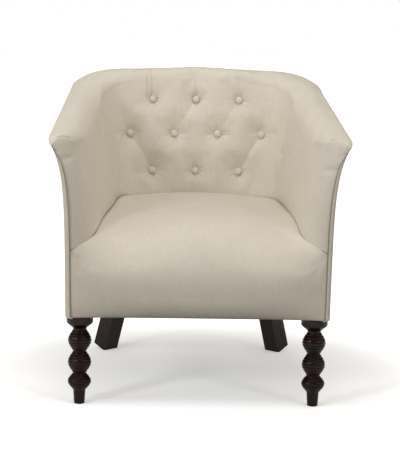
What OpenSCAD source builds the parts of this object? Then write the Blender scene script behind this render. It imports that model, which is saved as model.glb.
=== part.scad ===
/* [Overall] */
// Height of the fabric's lower edge above the floor
hem_z = 219; // [195:1:250]
// Height of the back's top edge at its middle
back_top_z = 782; // [740:1:830]
// Half width of the body at the lower front corner
base_half_w = 313; // [290:1:340]
// Flare of the arm tips past the lower corner, on each side
tip_flare = 50; // [35:1:70]
// Flare of the top roll past the lower corner, where the arm meets the back
shoulder_flare = 19; // [8:1:30]
// Distance from the front face to the outside back at the lower edge
base_depth = 626; // [590:1:680]
// Lean of the outside back's top past its lower edge
back_lean = 19; // [5:1:40]

/* [Arms and back] */
// Height of the arm's top at its tip
arm_tip_z = 655; // [630:1:680]
// Rise of the arm's top for each millimetre towards the back
arm_slope = 0.153; // [0.1:0.005:0.2]
// Drop of the back's top edge from its middle to its corners
corner_drop = 5; // [0:1:15]
// Corner radius of the body at the lower edge
base_corner_r = 160; // [120:1:180]
// Corner radius of the top roll's outer line
top_corner_r = 110; // [90:1:130]
// Bow of the outside back between its corners
back_bow = 7; // [0:1:15]
// Width of the top roll at the arm's tip
roll_w = 76; // [60:1:95]
// Height of the roll's inner shoulder below its top
roll_inner_drop = 32; // [20:1:45]
// Height of the roll's outermost line below its top
roll_outer_drop = 11; // [6:1:18]
// Height of the roll's lower lip below its outermost line
lip_drop = 12; // [6:1:20]
// Overhang of the roll past the outside panels
lip_overhang = 10; // [4:1:16]
// Length of the arm's rounded front
nose_len = 100; // [70:1:130]
// Length of the tip over which the roll dies into the seam
tip_len = 34; // [20:1:50]
// How far the outside panels swell past the front seam
panel_swell = 6; // [0:0.5:10]
// Share of the side lean that is spread evenly over the height
lean_share = 0.16; // [0:0.02:0.4]

/* [Inside space] */
// Thickness of the arms at seat level, at the front
arm_t = 57; // [52:1:70]
// Thickness of the arms at seat level, at the back corner
arm_rear_t = 75; // [68:1:90]
// Thickness of the back at seat level
back_t = 118; // [108:1:140]
// Thickness of the back at its top
back_top_t = 77; // [70:1:95]
// Inside corner radius at seat level
inside_corner_r = 90; // [60:1:110]

/* [Seat] */
// Height of the seat's deck at its sides
deck_side_z = 440; // [420:1:460]
// Crown of the deck in its middle, above the sides
deck_crown = 12; // [4:1:30]
// Rise of the deck from the front edge to the back
deck_rise = 8; // [0:1:20]
// Height where the front face ends and the arm begins, at the front corner
front_corner_z = 377; // [350:1:390]
// Length of the rounded front edge at the sides
side_fall = 300; // [200:5:330]
// Length of the rounded front edge in the middle
mid_fall = 165; // [80:5:250]
// Height where the front edge starts to round, in the middle
mid_front_z = 312; // [280:1:360]
// Crown of the front face
front_crown = 5; // [0:0.5:12]
// Depth to which the front face turns in under the frame, at its middle
hem_turn = 14; // [4:1:18]
// Height over which the front face turns in
hem_turn_h = 48; // [30:1:60]

/* [Tufting] */
// Distance of the outermost buttons in from the inside walls at seat level
button_side_in = 67; // [60:1:90]
// Heights of the three rows of buttons
button_rows = [515, 612, 702]; // [500:1:720]
// Diameter of a covered button
button_d = 18; // [12:1:24]
// Depth to which a button is pulled in
tuft_depth = 14; // [4:1:22]
// Spread of the dimple round a button
tuft_spread = 26; // [15:1:40]

/* [Layers] */
// Thickness of the cover cloth with its wadding
cover_t = 3; // [2:0.5:5]
// Thickness of the outside panels
panel_t = 2.2; // [1.5:0.1:3]
// Thickness of the arm foam
arm_foam_t = 32; // [20:1:36]
// Thickness of the back foam
back_foam_t = 42; // [25:1:46]
// Thickness of the hessian
hessian_t = 1; // [0.6:0.1:1.5]
// Clearance between neighbouring layers
layer_gap = 0.3; // [0.2:0.1:0.5]
// Clearance between the hidden layers of the walls
wall_gap = 0.7; // [0.6:0.05:0.9]
// Clearance between the seat and the walls round it
seat_gap = 1.2; // [0.8:0.1:2]

/* [Frame] */
// Thickness of the frame's rails
rail_t = 24; // [20:1:28]
// Clearance between members of the frame that meet end to end
joint_gap = 0.7; // [0.5:0.1:0.9]
// Height of the bottom frame's rails
rail_h = 108; // [90:1:120]
// Height of the corner segments and blocks
block_h = 60; // [45:1:75]
// Height of the top rails
top_rail_h = 34; // [25:1:45]
// Height of the tack rails
tack_rail_h = 28; // [20:1:35]
// Distance from the front face to the front arm posts
post_y = 25; // [22:1:40]
// Depth of the front arm posts
post_d = 34; // [25:1:45]
// Number of seat springs
spring_count = 5; // [3:1:6]
// Diameter of the spring wire
spring_wire = 4; // [3:0.5:5]

/* [Front legs] */
// Distance of the front legs' axes in from the body's side
front_leg_in = 29; // [26:1:45]
// Distance of the front legs from the front face
front_leg_y = 45; // [40:1:60]
// Diameter of the collar
collar_d = 65; // [55:1:70]
// Height of the collar
collar_h = 35; // [28:1:42]
// Height of each of the two upper bobbins; the lowest takes what is left
bobbin_h = 54; // [46:1:58]
// Diameter of a bobbin
bobbin_d = 57; // [48:1:62]
// Diameter of the necks between the bobbins
neck_d = 32; // [26:1:38]
// Diameter of the foot at its top
foot_top_d = 30; // [26:1:36]
// Diameter of the foot at the floor
foot_d = 26; // [20:1:30]
// Height of the foot
foot_h = 35; // [28:1:40]

/* [Rear legs] */
// Side of the rear legs' square section
rear_leg_side = 46; // [38:1:50]
// Distance of the rear feet's middles in from the body's side
rear_foot_in = 76; // [68:1:88]
// Distance of the rear feet's middles behind the body's lower edge
rear_foot_out = 40; // [24:1:54]
// Outward splay of the rear legs, in degrees
splay_out = 12.6; // [8:0.2:14]
// Backward splay of the rear legs, in degrees
splay_back = 19.4; // [17:0.2:20]
// Depth of the flat worn on the lowest corner of a rear foot
rear_flat = 3; // [1:0.5:5]

/* [Fasteners] */
// Diameter of the hanger bolts
bolt_d = 8; // [6:1:10]
// Length of a hanger bolt in the leg
bolt_in_leg = 40; // [30:1:50]
// Clearance round a bolt
bolt_gap = 0.1; // [0.05:0.05:0.3]
// Diameter of a tee nut's flange
tee_d = 24; // [20:1:30]
// Diameter of a screw
screw_d = 5; // [4:0.5:6]

/* [Hidden] */
$fn = 48;

linen = "linen";
wood = "peru";
stain = "#2b1712";
steel = "silver";

// Places that follow from the body's width and depth
tip_half_w = base_half_w + tip_flare;
shoulder_half_w = base_half_w + shoulder_flare;
top_depth = base_depth + back_lean;
inside_half_w = base_half_w - arm_t;
inside_rear_half_w = base_half_w - arm_rear_t;
seat_depth = base_depth - back_t;
corner_top_z = back_top_z - corner_drop;
most_in_row = 4;
button_pitch = 2 * (inside_rear_half_w - button_side_in) / (most_in_row - 1);
back_top_depth = top_depth - back_top_t;
front_leg_x = base_half_w - front_leg_in;
rear_foot_x = base_half_w - rear_foot_in;
rear_foot_y = base_depth + rear_foot_out;

// Everything stands on the floor with the middle of its box over the origin
half_diagonal = rear_leg_side / sqrt(2);
rear_reach = rear_foot_y + half_diagonal * cos(splay_back);
middle_y = (rear_reach - front_crown) / 2;

// Levels of the frame
frame_z = hem_z + 2;
rail_top_z = frame_z + rail_h;
seat_ref_z = deck_side_z + 5;
lip_over_rail = 4;
foam_over_rail = 2.7;
web_t = 1.5;
clip_h = 3;
spring_z = rail_top_z + clip_h + spring_wire / 2;
seat_hessian_z = spring_z + spring_wire / 2 + 0.2;
foam_z = seat_hessian_z + hessian_t + layer_gap;

// Depths of the layers behind the inside covers' faces
back_cover_t = cover_t + tuft_depth;
arm_face_d = cover_t + layer_gap + arm_foam_t;
back_face_d = cover_t + layer_gap + back_foam_t;
frame_d = 3 * wall_gap + hessian_t + web_t;
frame_inset = panel_t + layer_gap + joint_gap;

// Stations round the tub: 0 is the right arm's front, 1 the end of its nose, 2 to 3 the back corner,
// 4 the middle of the back and 8 the left arm's front
foam_skin_d = cover_t + layer_gap;
nose_full_y = post_y - 1.5;
post_station = (nose_full_y - foam_skin_d) / nose_len;
nose_fractions = [0.001, 0.02, 0.06, 0.12, post_station, 0.42, 0.68];
post_first = 2.36;
cover_split = 2.55;
post_last = 2.7;
split_gap = 0.003;
side_stations = [1, 1.3, 1.65, 2, 2.18, post_first];
row_step_x = button_pitch / 6;

// How the outside leans and swells
lean_power = 6;
swell_run = 30;

// Foot of the inside walls: how far and over what length it tucks in behind the seat
tuck = 20;
tuck_run = 60;
foot_over_deck = 1;

function lerp(a, b, t) = a + (b - a) * t;
function clamp01(t) = max(0, min(1, t));
function smooth(t) = let (c = clamp01(t)) c * c * (3 - 2 * c);
function quarter(t) = let (c = clamp01(t)) sqrt(1 - (1 - c) * (1 - c));

// Plan curves: half width at the front, at the corner, back distance, corner radius
function base_curve(d) = [base_half_w - d, base_half_w - d, base_depth - d, base_corner_r - d];
function top_curve(d) = [tip_half_w - d, shoulder_half_w - d, top_depth - d, top_corner_r - d];
function low_inside_curve(d) =
    [inside_half_w + d, inside_rear_half_w + d, seat_depth + d, inside_corner_r + d];
function top_inside_curve(d) =
    let (hw = shoulder_half_w - roll_w - 4)
    [tip_half_w - roll_w + d, hw + d, back_top_depth + d, hw - inside_straight + d];
inside_straight = inside_rear_half_w - inside_corner_r;

// Distance of a station from the front face on a plan curve, measured along Y
function side_y(c, u, yf) =
    u <= 1 ? yf + nose_len * u : lerp(yf + nose_len, c[2] - c[3], u - 1);
function plan_half(c, u, yf) =
    u <= 2
    ? let (y = side_y(c, u, yf)) [lerp(c[0], c[1], y / (c[2] - c[3])), y]
    : u <= 3
    ? [c[1] - c[3] + c[3] * cos(90 * (u - 2)), c[2] - c[3] + c[3] * sin(90 * (u - 2))]
    : [(c[1] - c[3]) * (4 - u), c[2] + back_bow * (1 - cos(180 * (u - 3))) / 2];
function plan(c, u, yf) =
    u <= 4 ? plan_half(c, u, yf) : let (p = plan_half(c, 8 - u, yf)) [-p[0], p[1]];
function half_u(u) = min(u, 8 - u);

// Heights that follow the top edge round the tub
function crest_z(u, yf) =
    let (h = half_u(u), c = top_curve(0), start = arm_tip_z + arm_slope * (c[2] - c[3]))
    h <= 2 ? arm_tip_z + arm_slope * side_y(c, h, yf)
    : h <= 3 ? lerp(start, corner_top_z, sin(90 * (h - 2)))
    : lerp(corner_top_z, back_top_z, sin(90 * (h - 3)));
function shoulder_z(u, yf) = crest_z(u, yf) - roll_inner_drop;
function roll_side_z(u, yf) = crest_z(u, yf) - roll_outer_drop;
function lip_z(u, yf) = roll_side_z(u, yf) - lip_drop;
function top_rail_z(u, yf) = lip_z(u, yf) - lip_over_rail;

// Outside surface of the tub at a station and a height, set in by d
function swell(u, yf) =
    let (h = half_u(u), grow = quarter(nose_len * min(1, h) / swell_run))
    panel_swell * grow * (h <= 2 ? 1 : h <= 3 ? cos(90 * (h - 2)) : 0);
function outside(u, z, d, yf) =
    let (
        h = clamp01((z - hem_z) / (lip_z(u, yf) - hem_z)),
        share = lean_share * h + (1 - lean_share) * pow(h, lean_power),
        low = plan(base_curve(d), u, yf),
        high = plan(top_curve(d + lip_overhang), u, yf),
        p = lerp(low, high, share),
        out = swell(u, yf) * (1 - pow(h, lean_power)) * (u <= 4 ? 1 : -1)
    )
    [p[0] + out, p[1], z];

// Extra clearance of the frame from the panels round the back corners
corner_clear = 1.8;
corner_run = 0.08;
function corner_relief(u) =
    let (h = half_u(u)) corner_clear * smooth(min(h - 2, 3 - h) / corner_run);

// Inside surface, without the arm's rounded front
function inside_line(u, z, d, yf) =
    let (
        low = plan(low_inside_curve(d), u, yf),
        high = plan(top_inside_curve(d), u, yf),
        p = lerp(low, high, (z - seat_ref_z) / (shoulder_z(u, yf) - seat_ref_z))
    )
    [p[0], p[1], z];
function nose(u) = quarter(half_u(u));
function tip(u) = quarter(half_u(u) * nose_len / tip_len);

// Height of the deck along the arms
function side_deck_z(y) =
    y < side_fall
    ? lerp(front_corner_z, deck_side_z, quarter(y / side_fall))
    : deck_side_z + deck_rise * (y - side_fall) / (seat_depth - side_fall);
function wall_foot_z(u, yf) =
    let (h = half_u(u), y = h <= 2 ? side_y(low_inside_curve(0), h, yf) : seat_depth)
    side_deck_z(min(y, seat_depth)) + foot_over_deck - tuck * smooth((y - yf) / tuck_run);

// Buttons: each is [x, z]
buttons = [
    for (row = [0 : len(button_rows) - 1])
        let (n = most_in_row - abs(row - 1))
            for (i = [0 : n - 1]) [(i - (n - 1) / 2) * button_pitch, button_rows[row]]
];
function dimple(x, z) =
    max([for (b = buttons) exp(-(pow(x - b[0], 2) + pow(z - b[1], 2)) / pow(tuft_spread, 2))]);

// Inside skin of the wall, over its top roll and down to the lip; v runs 0 to 4
function roll_point(u, v, d, yf) =
    let (
        outer = plan(top_curve(d), u, yf),
        inner = plan(top_inside_curve(d), u, yf),
        lip = plan(top_curve(d + lip_overhang), u, yf),
        middle = (outer + inner) / 2,
        top = crest_z(u, yf) - d,
        side = roll_side_z(u, yf)
    )
    v <= 2 ? let (a = 90 * (v - 1), p = lerp(middle, inner, cos(a)))
        [p[0], p[1], lerp(shoulder_z(u, yf), top, sin(a))]
    : v <= 3 ? let (a = 90 * (v - 2), p = lerp(middle, outer, sin(a)))
        [p[0], p[1], lerp(side, top, cos(a))]
    : let (a = 90 * (v - 3), p = lerp(outer, lip, 1 - cos(a)))
        [p[0], p[1], lerp(side, lip_z(u, yf), sin(a))];
function lip_point(u, d, yf) =
    let (p = plan(top_curve(d + lip_overhang), u, yf)) [p[0], p[1], lip_z(u, yf)];
function inner_point(u, z, d, yf) = lerp(outside(u, z, d, yf), inside_line(u, z, d, yf), nose(u));
function skin(u, v, d, yf) =
    v <= 1
    ? inner_point(u, lerp(wall_foot_z(u, yf), shoulder_z(u, yf), v), d, yf)
    : let (
        k = v <= 2 ? nose(u) : v <= 3 ? lerp(nose(u), tip(u), v - 2) : tip(u),
        p = roll_point(u, v, d, yf),
        q = lip_point(u, d, yf)
    )
    [lerp(q[0], p[0], k), lerp(q[1], p[1], k), lerp(q[2], p[2], tip(u))];

// The plane that the foam lies against
function face_d(u) = lerp(arm_face_d, back_face_d, smooth(half_u(u) - 2));
function foam_back(u, v, yf) =
    let (
        y = yf + nose_len * min(1, half_u(u)),
        fill = smooth((y - nose_full_y / 2) / (nose_full_y / 2)),
        cap = top_rail_z(u, yf) + foam_over_rail,
        z = v <= 1 ? lerp(wall_foot_z(u, yf), cap, v) : cap,
        near = outside(u, z, frame_inset + wall_gap, yf),
        plane = lerp(near, inside_line(u, z, face_d(u), yf), fill)
    )
    v <= 1 ? plane : lerp(plane, near, (v - 1) / 3);

// A closed slab between two grids of points, with triangles only
module slab(a, b) {
    n = len(a);
    m = len(a[0]);
    count = n * m;
    points = concat([for (row = a) each row], [for (row = b) each row]);
    function at(i, j) = i * m + j;
    function quad(p, q, r, s) = [[p, q, r], [p, r, s]];
    faces = concat(
        [for (i = [0 : n - 2], j = [0 : m - 2])
            each quad(at(i, j), at(i + 1, j), at(i + 1, j + 1), at(i, j + 1))],
        [for (i = [0 : n - 2], j = [0 : m - 2])
            each quad(count + at(i, j), count + at(i, j + 1),
                      count + at(i + 1, j + 1), count + at(i + 1, j))],
        [for (j = [0 : m - 2])
            each quad(at(0, j), at(0, j + 1), count + at(0, j + 1), count + at(0, j))],
        [for (j = [0 : m - 2])
            each quad(at(n - 1, j), count + at(n - 1, j),
                      count + at(n - 1, j + 1), at(n - 1, j + 1))],
        [for (i = [0 : n - 2])
            each quad(at(i, 0), count + at(i, 0), count + at(i + 1, 0), at(i + 1, 0))],
        [for (i = [0 : n - 2])
            each quad(at(i, m - 1), at(i + 1, m - 1),
                      count + at(i + 1, m - 1), count + at(i, m - 1))]
    );
    polyhedron(points, faces);
}

// A tube along a path that lies nearly level
module tube(path, r, sides) {
    n = len(path);
    function along(i) = path[min(n - 1, i + 1)] - path[max(0, i - 1)];
    rings = [for (i = [0 : n - 1])
        let (
            t = along(i) / norm(along(i)),
            s = cross(t, [0, 0, 1]),
            e = s / norm(s),
            w = cross(e, t)
        )
        [for (k = [0 : sides - 1])
            path[i] + r * (e * cos(360 * k / sides) + w * sin(360 * k / sides))]];
    points = [for (ring = rings) each ring];
    function at(i, k) = i * sides + k % sides;
    faces = concat(
        [for (i = [0 : n - 2], k = [0 : sides - 1])
            each [[at(i, k), at(i + 1, k + 1), at(i + 1, k)],
                  [at(i, k), at(i, k + 1), at(i + 1, k + 1)]]],
        [for (k = [1 : sides - 2]) [at(0, 0), at(0, k + 1), at(0, k)]],
        [for (k = [1 : sides - 2]) [at(n - 1, 0), at(n - 1, k), at(n - 1, k + 1)]]
    );
    polyhedron(points, faces);
}

// Moves a piece from distances behind the front face to the part's own frame
module placed() {
    translate([0, -middle_y, 0]) children();
}

// Turns a piece of the right side into the left one
module on_left() {
    mirror([1, 0, 0]) children();
}

// Stations
arm_us = concat(nose_fractions, side_stations, [cover_split - split_gap]);
button_u = 2 + acos((1.5 * button_pitch - inside_straight) / inside_corner_r) / 90;
straight_count = floor(inside_straight / row_step_x);
back_us = [post_last, button_u, 3, 3.25, 3.5, 3.75, 4];
function both_sides(us) = concat(us, [for (i = [len(us) - 2 : -1 : 0]) 8 - us[i]]);
back_all = both_sides(concat(
    [cover_split + split_gap, post_last, button_u, 3],
    [for (i = [straight_count : -1 : 0]) 4 - i * row_step_x / inside_straight]
));
inner_rows = 7;
roll_rows = [1.33, 1.67, 2, 2.4, 2.75, 3, 3.4, 4];
arm_rows = concat([for (i = [0 : inner_rows]) i / inner_rows], roll_rows);
step_low = (button_rows[1] - button_rows[0]) / 4;
step_high = (button_rows[2] - button_rows[1]) / 4;
back_heights = concat(
    [button_rows[0] - 2.4 * step_low, button_rows[0] - 1.2 * step_low],
    [for (i = [0 : 3]) button_rows[0] + i * step_low],
    [for (i = [0 : 4]) button_rows[1] + i * step_high],
    [button_rows[2] + step_high]
);

// Tufted face of the back
function tufted(u, z) =
    let (p = inner_point(u, z, 0, 0))
    inner_point(u, z, tuft_depth * dimple(p[0], z), 0);
function back_depth(v) = lerp(back_cover_t, cover_t, smooth(v - 1));

module seat_grid_slab(ws, rows, d_top, bottom) {
    a = [for (w = ws) [for (r = rows) seat_point(w, r, d_top)]];
    b = [for (w = ws) [for (r = rows) seat_point(w, r, bottom)]];
    slab(a, b);
}

// Seat surface: w runs across, r 0 to 1 up the front, 1 to 2 over the edge, 2 to 3 along the deck
function wall_half_w(y, z) =
    let (
        c = low_inside_curve(0),
        yc = c[2] - c[3],
        flat_x = y < yc ? lerp(c[0], c[1], y / yc)
            : c[1] - c[3] + sqrt(max(0, c[3] * c[3] - pow(y - yc, 2))),
        top = top_inside_curve(0),
        lean = (lerp(top[0], top[1], clamp01(y / yc)) - lerp(c[0], c[1], clamp01(y / yc)))
            / (shoulder_z(1, 0) - seat_ref_z),
        x = flat_x + min(0, lean * (z - seat_ref_z))
    )
    y < nose_len ? lerp(outside(y / nose_len, z, 0, 0)[0], x, nose(y / nose_len)) : x;
function seat_half_w(y, z) =
    wall_half_w(max(0, y), z) - lerp(panel_t + layer_gap, seat_gap, clamp01(y / 5));
function fall_len(w) = lerp(mid_fall, side_fall, w * w);
function turned_in(w, z) =
    hem_turn * (1 - pow(w, 4)) * (1 - quarter((z - hem_z) / hem_turn_h));
function front_top_z(w) = lerp(mid_front_z, front_corner_z, pow(w, 4));
function deck_z(w) = deck_side_z + deck_crown * (1 - w * w);
function seat_point(w, r, d) =
    let (
        z0 = front_top_z(w),
        bulge = front_crown * (1 - pow(w, 4)),
        fall = fall_len(w),
        zd = deck_z(w) - d,
        back = seat_depth + back_bow * (1 + cos(180 * w)) / 2 - seat_gap - d,
        a = 90 * (r - 1),
        y = r <= 1 ? d - bulge * sin(90 * r) + turned_in(w, lerp(hem_z, z0, r))
            : r <= 2 ? lerp(fall, d - bulge, cos(a))
            : lerp(fall, back, r - 2),
        z = r <= 1 ? lerp(hem_z, z0, r)
            : r <= 2 ? lerp(z0, zd, sin(a))
            : zd + deck_rise * (y - fall) / (seat_depth - fall)
    )
    [w * (r <= 1 ? seat_half_w(0, z) : seat_half_w(y, z) - d), y, z];

// Covers
seat_ws = [1, 0.97, 0.9, 0.78, 0.6, 0.4, 0.2, 0, -0.2, -0.4, -0.6, -0.78, -0.9, -0.97, -1];
seat_rows = [
    0, 0.015, 0.04, 0.1, 0.22, 0.4, 0.7, 1, 1.1, 1.22, 1.34, 1.46, 1.58, 1.7, 1.82, 1.91, 2, 2.25, 2.5, 2.72, 2.88, 3
];
module seat_cover() {
    color(linen) placed() seat_grid_slab(seat_ws, seat_rows, 0, cover_t);
}

module inside_back_cover() {
    a = [for (u = back_all)
        concat(
            [skin(u, 0, 0, 0)],
            [for (z = back_heights) tufted(u, z)],
            [skin(u, 1, 0, 0)],
            [for (v = roll_rows) skin(u, v, 0, 0)]
        )];
    b = [for (u = back_all)
        concat(
            [skin(u, 0, back_cover_t, 0)],
            [for (z = back_heights) inner_point(u, z, back_cover_t, 0)],
            [skin(u, 1, back_cover_t, 0)],
            [for (v = roll_rows) skin(u, v, back_depth(v), 0)]
        )];
    color(linen) placed() slab(a, b);
}

module inside_right_arm_cover() {
    a = [for (u = arm_us) [for (v = arm_rows) skin(u, v, 0, 0)]];
    b = [for (u = arm_us) [for (v = arm_rows) skin(u, v, cover_t, cover_t)]];
    color(linen) placed() slab(a, b);
}
module inside_left_arm_cover() {
    on_left() inside_right_arm_cover();
}

// Outside panels
panel_levels = [0, 0.25, 0.5, 0.65, 0.78, 0.88, 0.95, 1];
panel_split = 2.5;
panel_front = [0.001, 0.02, 0.06, 0.15, 0.3, 1, 1.5, 2, 2.17, 2.33, panel_split - split_gap];
panel_back = [panel_split + split_gap, 2.67, 2.84, 3, 3.33, 3.67, 4];
module outside_panel(us) {
    top = [for (u = us) lip_z(u, 0) - layer_gap];
    a = [for (i = [0 : len(us) - 1])
        [for (h = panel_levels) outside(us[i], lerp(hem_z, top[i], h), panel_t, 0)]];
    b = [for (i = [0 : len(us) - 1])
        [for (h = panel_levels) outside(us[i], lerp(hem_z, top[i], h), 0, 0)]];
    color(linen) placed() slab(a, b);
}
module outside_right_arm_panel() {
    outside_panel(panel_front);
}
module outside_left_arm_panel() {
    on_left() outside_right_arm_panel();
}
module outside_back_panel() {
    outside_panel(both_sides(panel_back));
}

// Cords sewn down the outer front edge of each arm
seam_cord_r = 1.4;
module right_arm_seam_cord() {
    top = lip_z(0, 0);
    path = [for (h = [0 : 0.1 : 1.001])
        let (z = lerp(hem_z, top, h), p = outside(0, z, 0, 0))
        [p[0] - seam_cord_r, -seam_cord_r - layer_gap, z]];
    color(linen) placed() standing_tube(path, seam_cord_r, 6);
}
module left_arm_seam_cord() {
    on_left() right_arm_seam_cord();
}
// A tube along a path that rises, cut level at both ends
module standing_tube(path, r, sides) {
    n = len(path);
    points = [for (p = path) each [for (k = [0 : sides - 1])
        p + r * [cos(360 * k / sides), sin(360 * k / sides), 0]]];
    function at(i, k) = i * sides + k % sides;
    faces = concat(
        [for (i = [0 : n - 2], k = [0 : sides - 1])
            each [[at(i, k), at(i + 1, k + 1), at(i, k + 1)],
                  [at(i, k), at(i + 1, k), at(i + 1, k + 1)]]],
        [for (k = [1 : sides - 2]) [at(0, 0), at(0, k), at(0, k + 1)]],
        [for (k = [1 : sides - 2]) [at(n - 1, 0), at(n - 1, k + 1), at(n - 1, k)]]
    );
    polyhedron(points, faces);
}

// Covered buttons on the bottoms of the dimples, and their washers behind the hessian
button_front = 9.5;
button_rim = 5;
button_seat = 0.5;
shank_r = 0.8;
shank_h = 2.4;
function button_station(x) =
    abs(x) <= inside_straight ? 4 - x / inside_straight
    : x > 0 ? button_u : 8 - button_u;
function turn_at(u) =
    let (h = half_u(u)) (h >= 3 ? 0 : 90 * (3 - h)) * (u <= 4 ? 1 : -1);
module at_button(b, d) {
    u = button_station(b[0]);
    p = inner_point(u, b[1], d, 0);
    lean = atan((back_top_depth - seat_depth) / (shoulder_z(4, 0) - seat_ref_z));
    translate(p) rotate([0, 0, -turn_at(u)]) rotate([90 - lean, 0, 0]) children();
}
module covered_button() {
    r = button_d / 2;
    rotate_extrude()
        polygon([
            [0, button_seat], [shank_r, button_seat], [shank_r, shank_h], [r * 0.85, button_rim - 0.6],
            [r, button_rim], [r * 0.95, button_rim + 1.4], [r * 0.75, button_rim + 3],
            [r * 0.45, button_front - 0.5], [0, button_front]
        ]);
}
module tufting_buttons() {
    color(linen) placed() for (b = buttons) at_button(b, tuft_depth) covered_button();
}
washer_d = 14;
washer_t = 2;
module button_washers() {
    back = back_face_d + wall_gap + hessian_t + layer_gap;
    color("tan") placed()
        for (b = buttons)
            at_button(b, back) translate([0, 0, -washer_t]) cylinder(h = washer_t, d = washer_d);
}

// Legs
collar_z = hem_z - collar_h;
cup_h = 19;
edge_r = 2;
spigot_in = 8;
bobbin_zs = [foot_h, collar_z - 2 * bobbin_h, collar_z - bobbin_h, collar_z];
bobbin_steps = 12;
function bobbin_r(t) = lerp(neck_d / 2, bobbin_d / 2, pow(sin(180 * t), 1.15));
function cup_r(t) = lerp(neck_d / 2, collar_d / 2, smooth(t));
module turned_leg() {
    difference() {
        rotate_extrude(convexity = 4)
            polygon(concat(
                [[0, 0], [foot_d / 2, 0], [foot_top_d / 2, foot_h]],
                [for (i = [0 : 2], k = [0 : bobbin_steps - 1])
                    [bobbin_r(k / bobbin_steps), lerp(bobbin_zs[i], bobbin_zs[i + 1], k / bobbin_steps)]],
                [for (t = [0 : 0.2 : 1.001]) [cup_r(t), collar_z + cup_h * t]],
                [
                    [collar_d / 2, hem_z - edge_r], [collar_d / 2 - edge_r, hem_z],
                    [collar_d / 2 - spigot_in, hem_z], [collar_d / 2 - spigot_in, frame_z], [0, frame_z]
                ]
            ));
        translate([0, 0, frame_z - bolt_in_leg]) cylinder(h = bolt_in_leg + 1, d = bolt_d + 2 * bolt_gap);
    }
}
module front_right_leg() {
    color(stain) placed() translate([front_leg_x, front_leg_y, 0]) turned_leg();
}
module front_left_leg() {
    on_left() front_right_leg();
}

// The rear leg's own line: a point on it at its end, then two turns
rear_turn = atan(tan(splay_back) * cos(splay_out));
rear_end_z = half_diagonal * sin(rear_turn) * cos(splay_out) - rear_flat;
rear_len = (frame_z + block_h) / cos(rear_turn);
rear_top_along = (frame_z - rear_end_z) / (cos(rear_turn) * cos(splay_out));
// Where the spot face for the tee nut lies along the leg's own line
spot_depth = 8;
rear_seat_along = rear_top_along + block_h / (cos(rear_turn) * cos(splay_out)) - spot_depth;
module along_rear_leg() {
    translate([rear_foot_x, rear_foot_y, rear_end_z])
        rotate([0, -splay_out, 0]) rotate([rear_turn, 0, 0]) children();
}
function bottom_outline(inset) =
    let (front_y = rail_front_y(frame_z), right = [for (t = [0 : 0.1 : 1.001]) outside(2 + t, hem_z, inset, 0)])
    concat(
        [[base_half_w - inset, front_y]],
        [for (p = right) [p[0], p[1]]],
        [for (i = [len(right) - 1 : -1 : 0]) [-right[i][0], right[i][1]]],
        [[inset - base_half_w, front_y]]
    );
module rear_right_leg() {
    color(stain) placed() difference() {
        along_rear_leg()
            rotate([0, 0, 45]) translate([-rear_leg_side / 2, -rear_leg_side / 2, 0])
                cube([rear_leg_side, rear_leg_side, rear_len]);
        translate([-base_half_w, 0, frame_z]) cube([2 * base_half_w, 2 * base_depth, frame_z]);
        translate([-base_half_w, 0, -frame_z]) cube([2 * base_half_w, 2 * base_depth, frame_z]);
        translate([0, 0, hem_z - joint_gap]) linear_extrude(frame_z) difference() {
            translate([-base_depth, 0]) square(2 * base_depth);
            polygon(bottom_outline(frame_inset + corner_clear));
        }
        along_rear_leg()
            translate([0, 0, rear_top_along - bolt_in_leg])
                cylinder(h = 2 * bolt_in_leg, d = bolt_d + 2 * bolt_gap);
    }
}
module rear_left_leg() {
    on_left() rear_right_leg();
}

// Bottom frame
rail_x = base_half_w + panel_swell - frame_inset;
front_pad_t = 4;
front_rail_y = front_pad_t + cover_t + 2 * layer_gap;
rail_foot_y = front_rail_y + rail_t;
corner_start_y = base_depth - base_corner_r;
// The front rail's lower edge is planed away behind the turned-in cover
ease_d = hem_turn - 2;
ease_h = hem_turn_h - 2;
function rail_front_y(z) = front_rail_y + ease_d * (1 - clamp01((z - frame_z) / ease_h));
module front_rail() {
    half = base_half_w - frame_inset;
    color(wood) placed() difference() {
        translate([-half, 0, 0]) rotate([90, 0, 90]) linear_extrude(2 * half)
            polygon([
                [rail_front_y(frame_z), frame_z], [rail_foot_y, frame_z], [rail_foot_y, rail_top_z],
                [front_rail_y, rail_top_z], [front_rail_y, frame_z + ease_h]
            ]);
        each_screw() screw_hole();
    }
}
module right_side_rail() {
    color(wood) placed() difference() {
        translate([rail_x - rail_t, rail_foot_y, frame_z])
            cube([rail_t, corner_start_y - rail_foot_y, rail_h]);
        front_bolt_space();
    }
}
module left_side_rail() {
    on_left() right_side_rail();
}
rear_rail_half = base_half_w - base_corner_r;
module rear_rail() {
    color(wood) placed()
        translate([-rear_rail_half, base_depth - frame_inset - rail_t, frame_z])
            cube([2 * rear_rail_half, rail_t, rail_h]);
}
segment_t = 72;
nut_space = 1;
module rear_right_corner_segment() {
    outer = [for (t = [0 : 0.1 : 1.001]) let (p = frame_rear(2 + t, hem_z)) [p[0], p[1]]];
    inner = [for (t = [1 : -0.1 : -0.001])
        let (p = outside(2 + t, hem_z, frame_inset + segment_t, 0)) [p[0], p[1]]];
    color(wood) placed() difference() {
        translate([0, 0, frame_z]) linear_extrude(block_h) polygon(concat(outer, inner));
        along_rear_leg() {
            translate([0, 0, rear_top_along - bolt_in_leg])
                cylinder(h = 4 * block_h, d = bolt_d + 2 * bolt_gap);
            translate([0, 0, rear_seat_along]) cylinder(h = 2 * block_h, d = tee_d + 2 * nut_space);
        }
    }
}
module rear_left_corner_segment() {
    on_left() rear_right_corner_segment();
}
block_len = 70;
block_end = 12;
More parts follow.
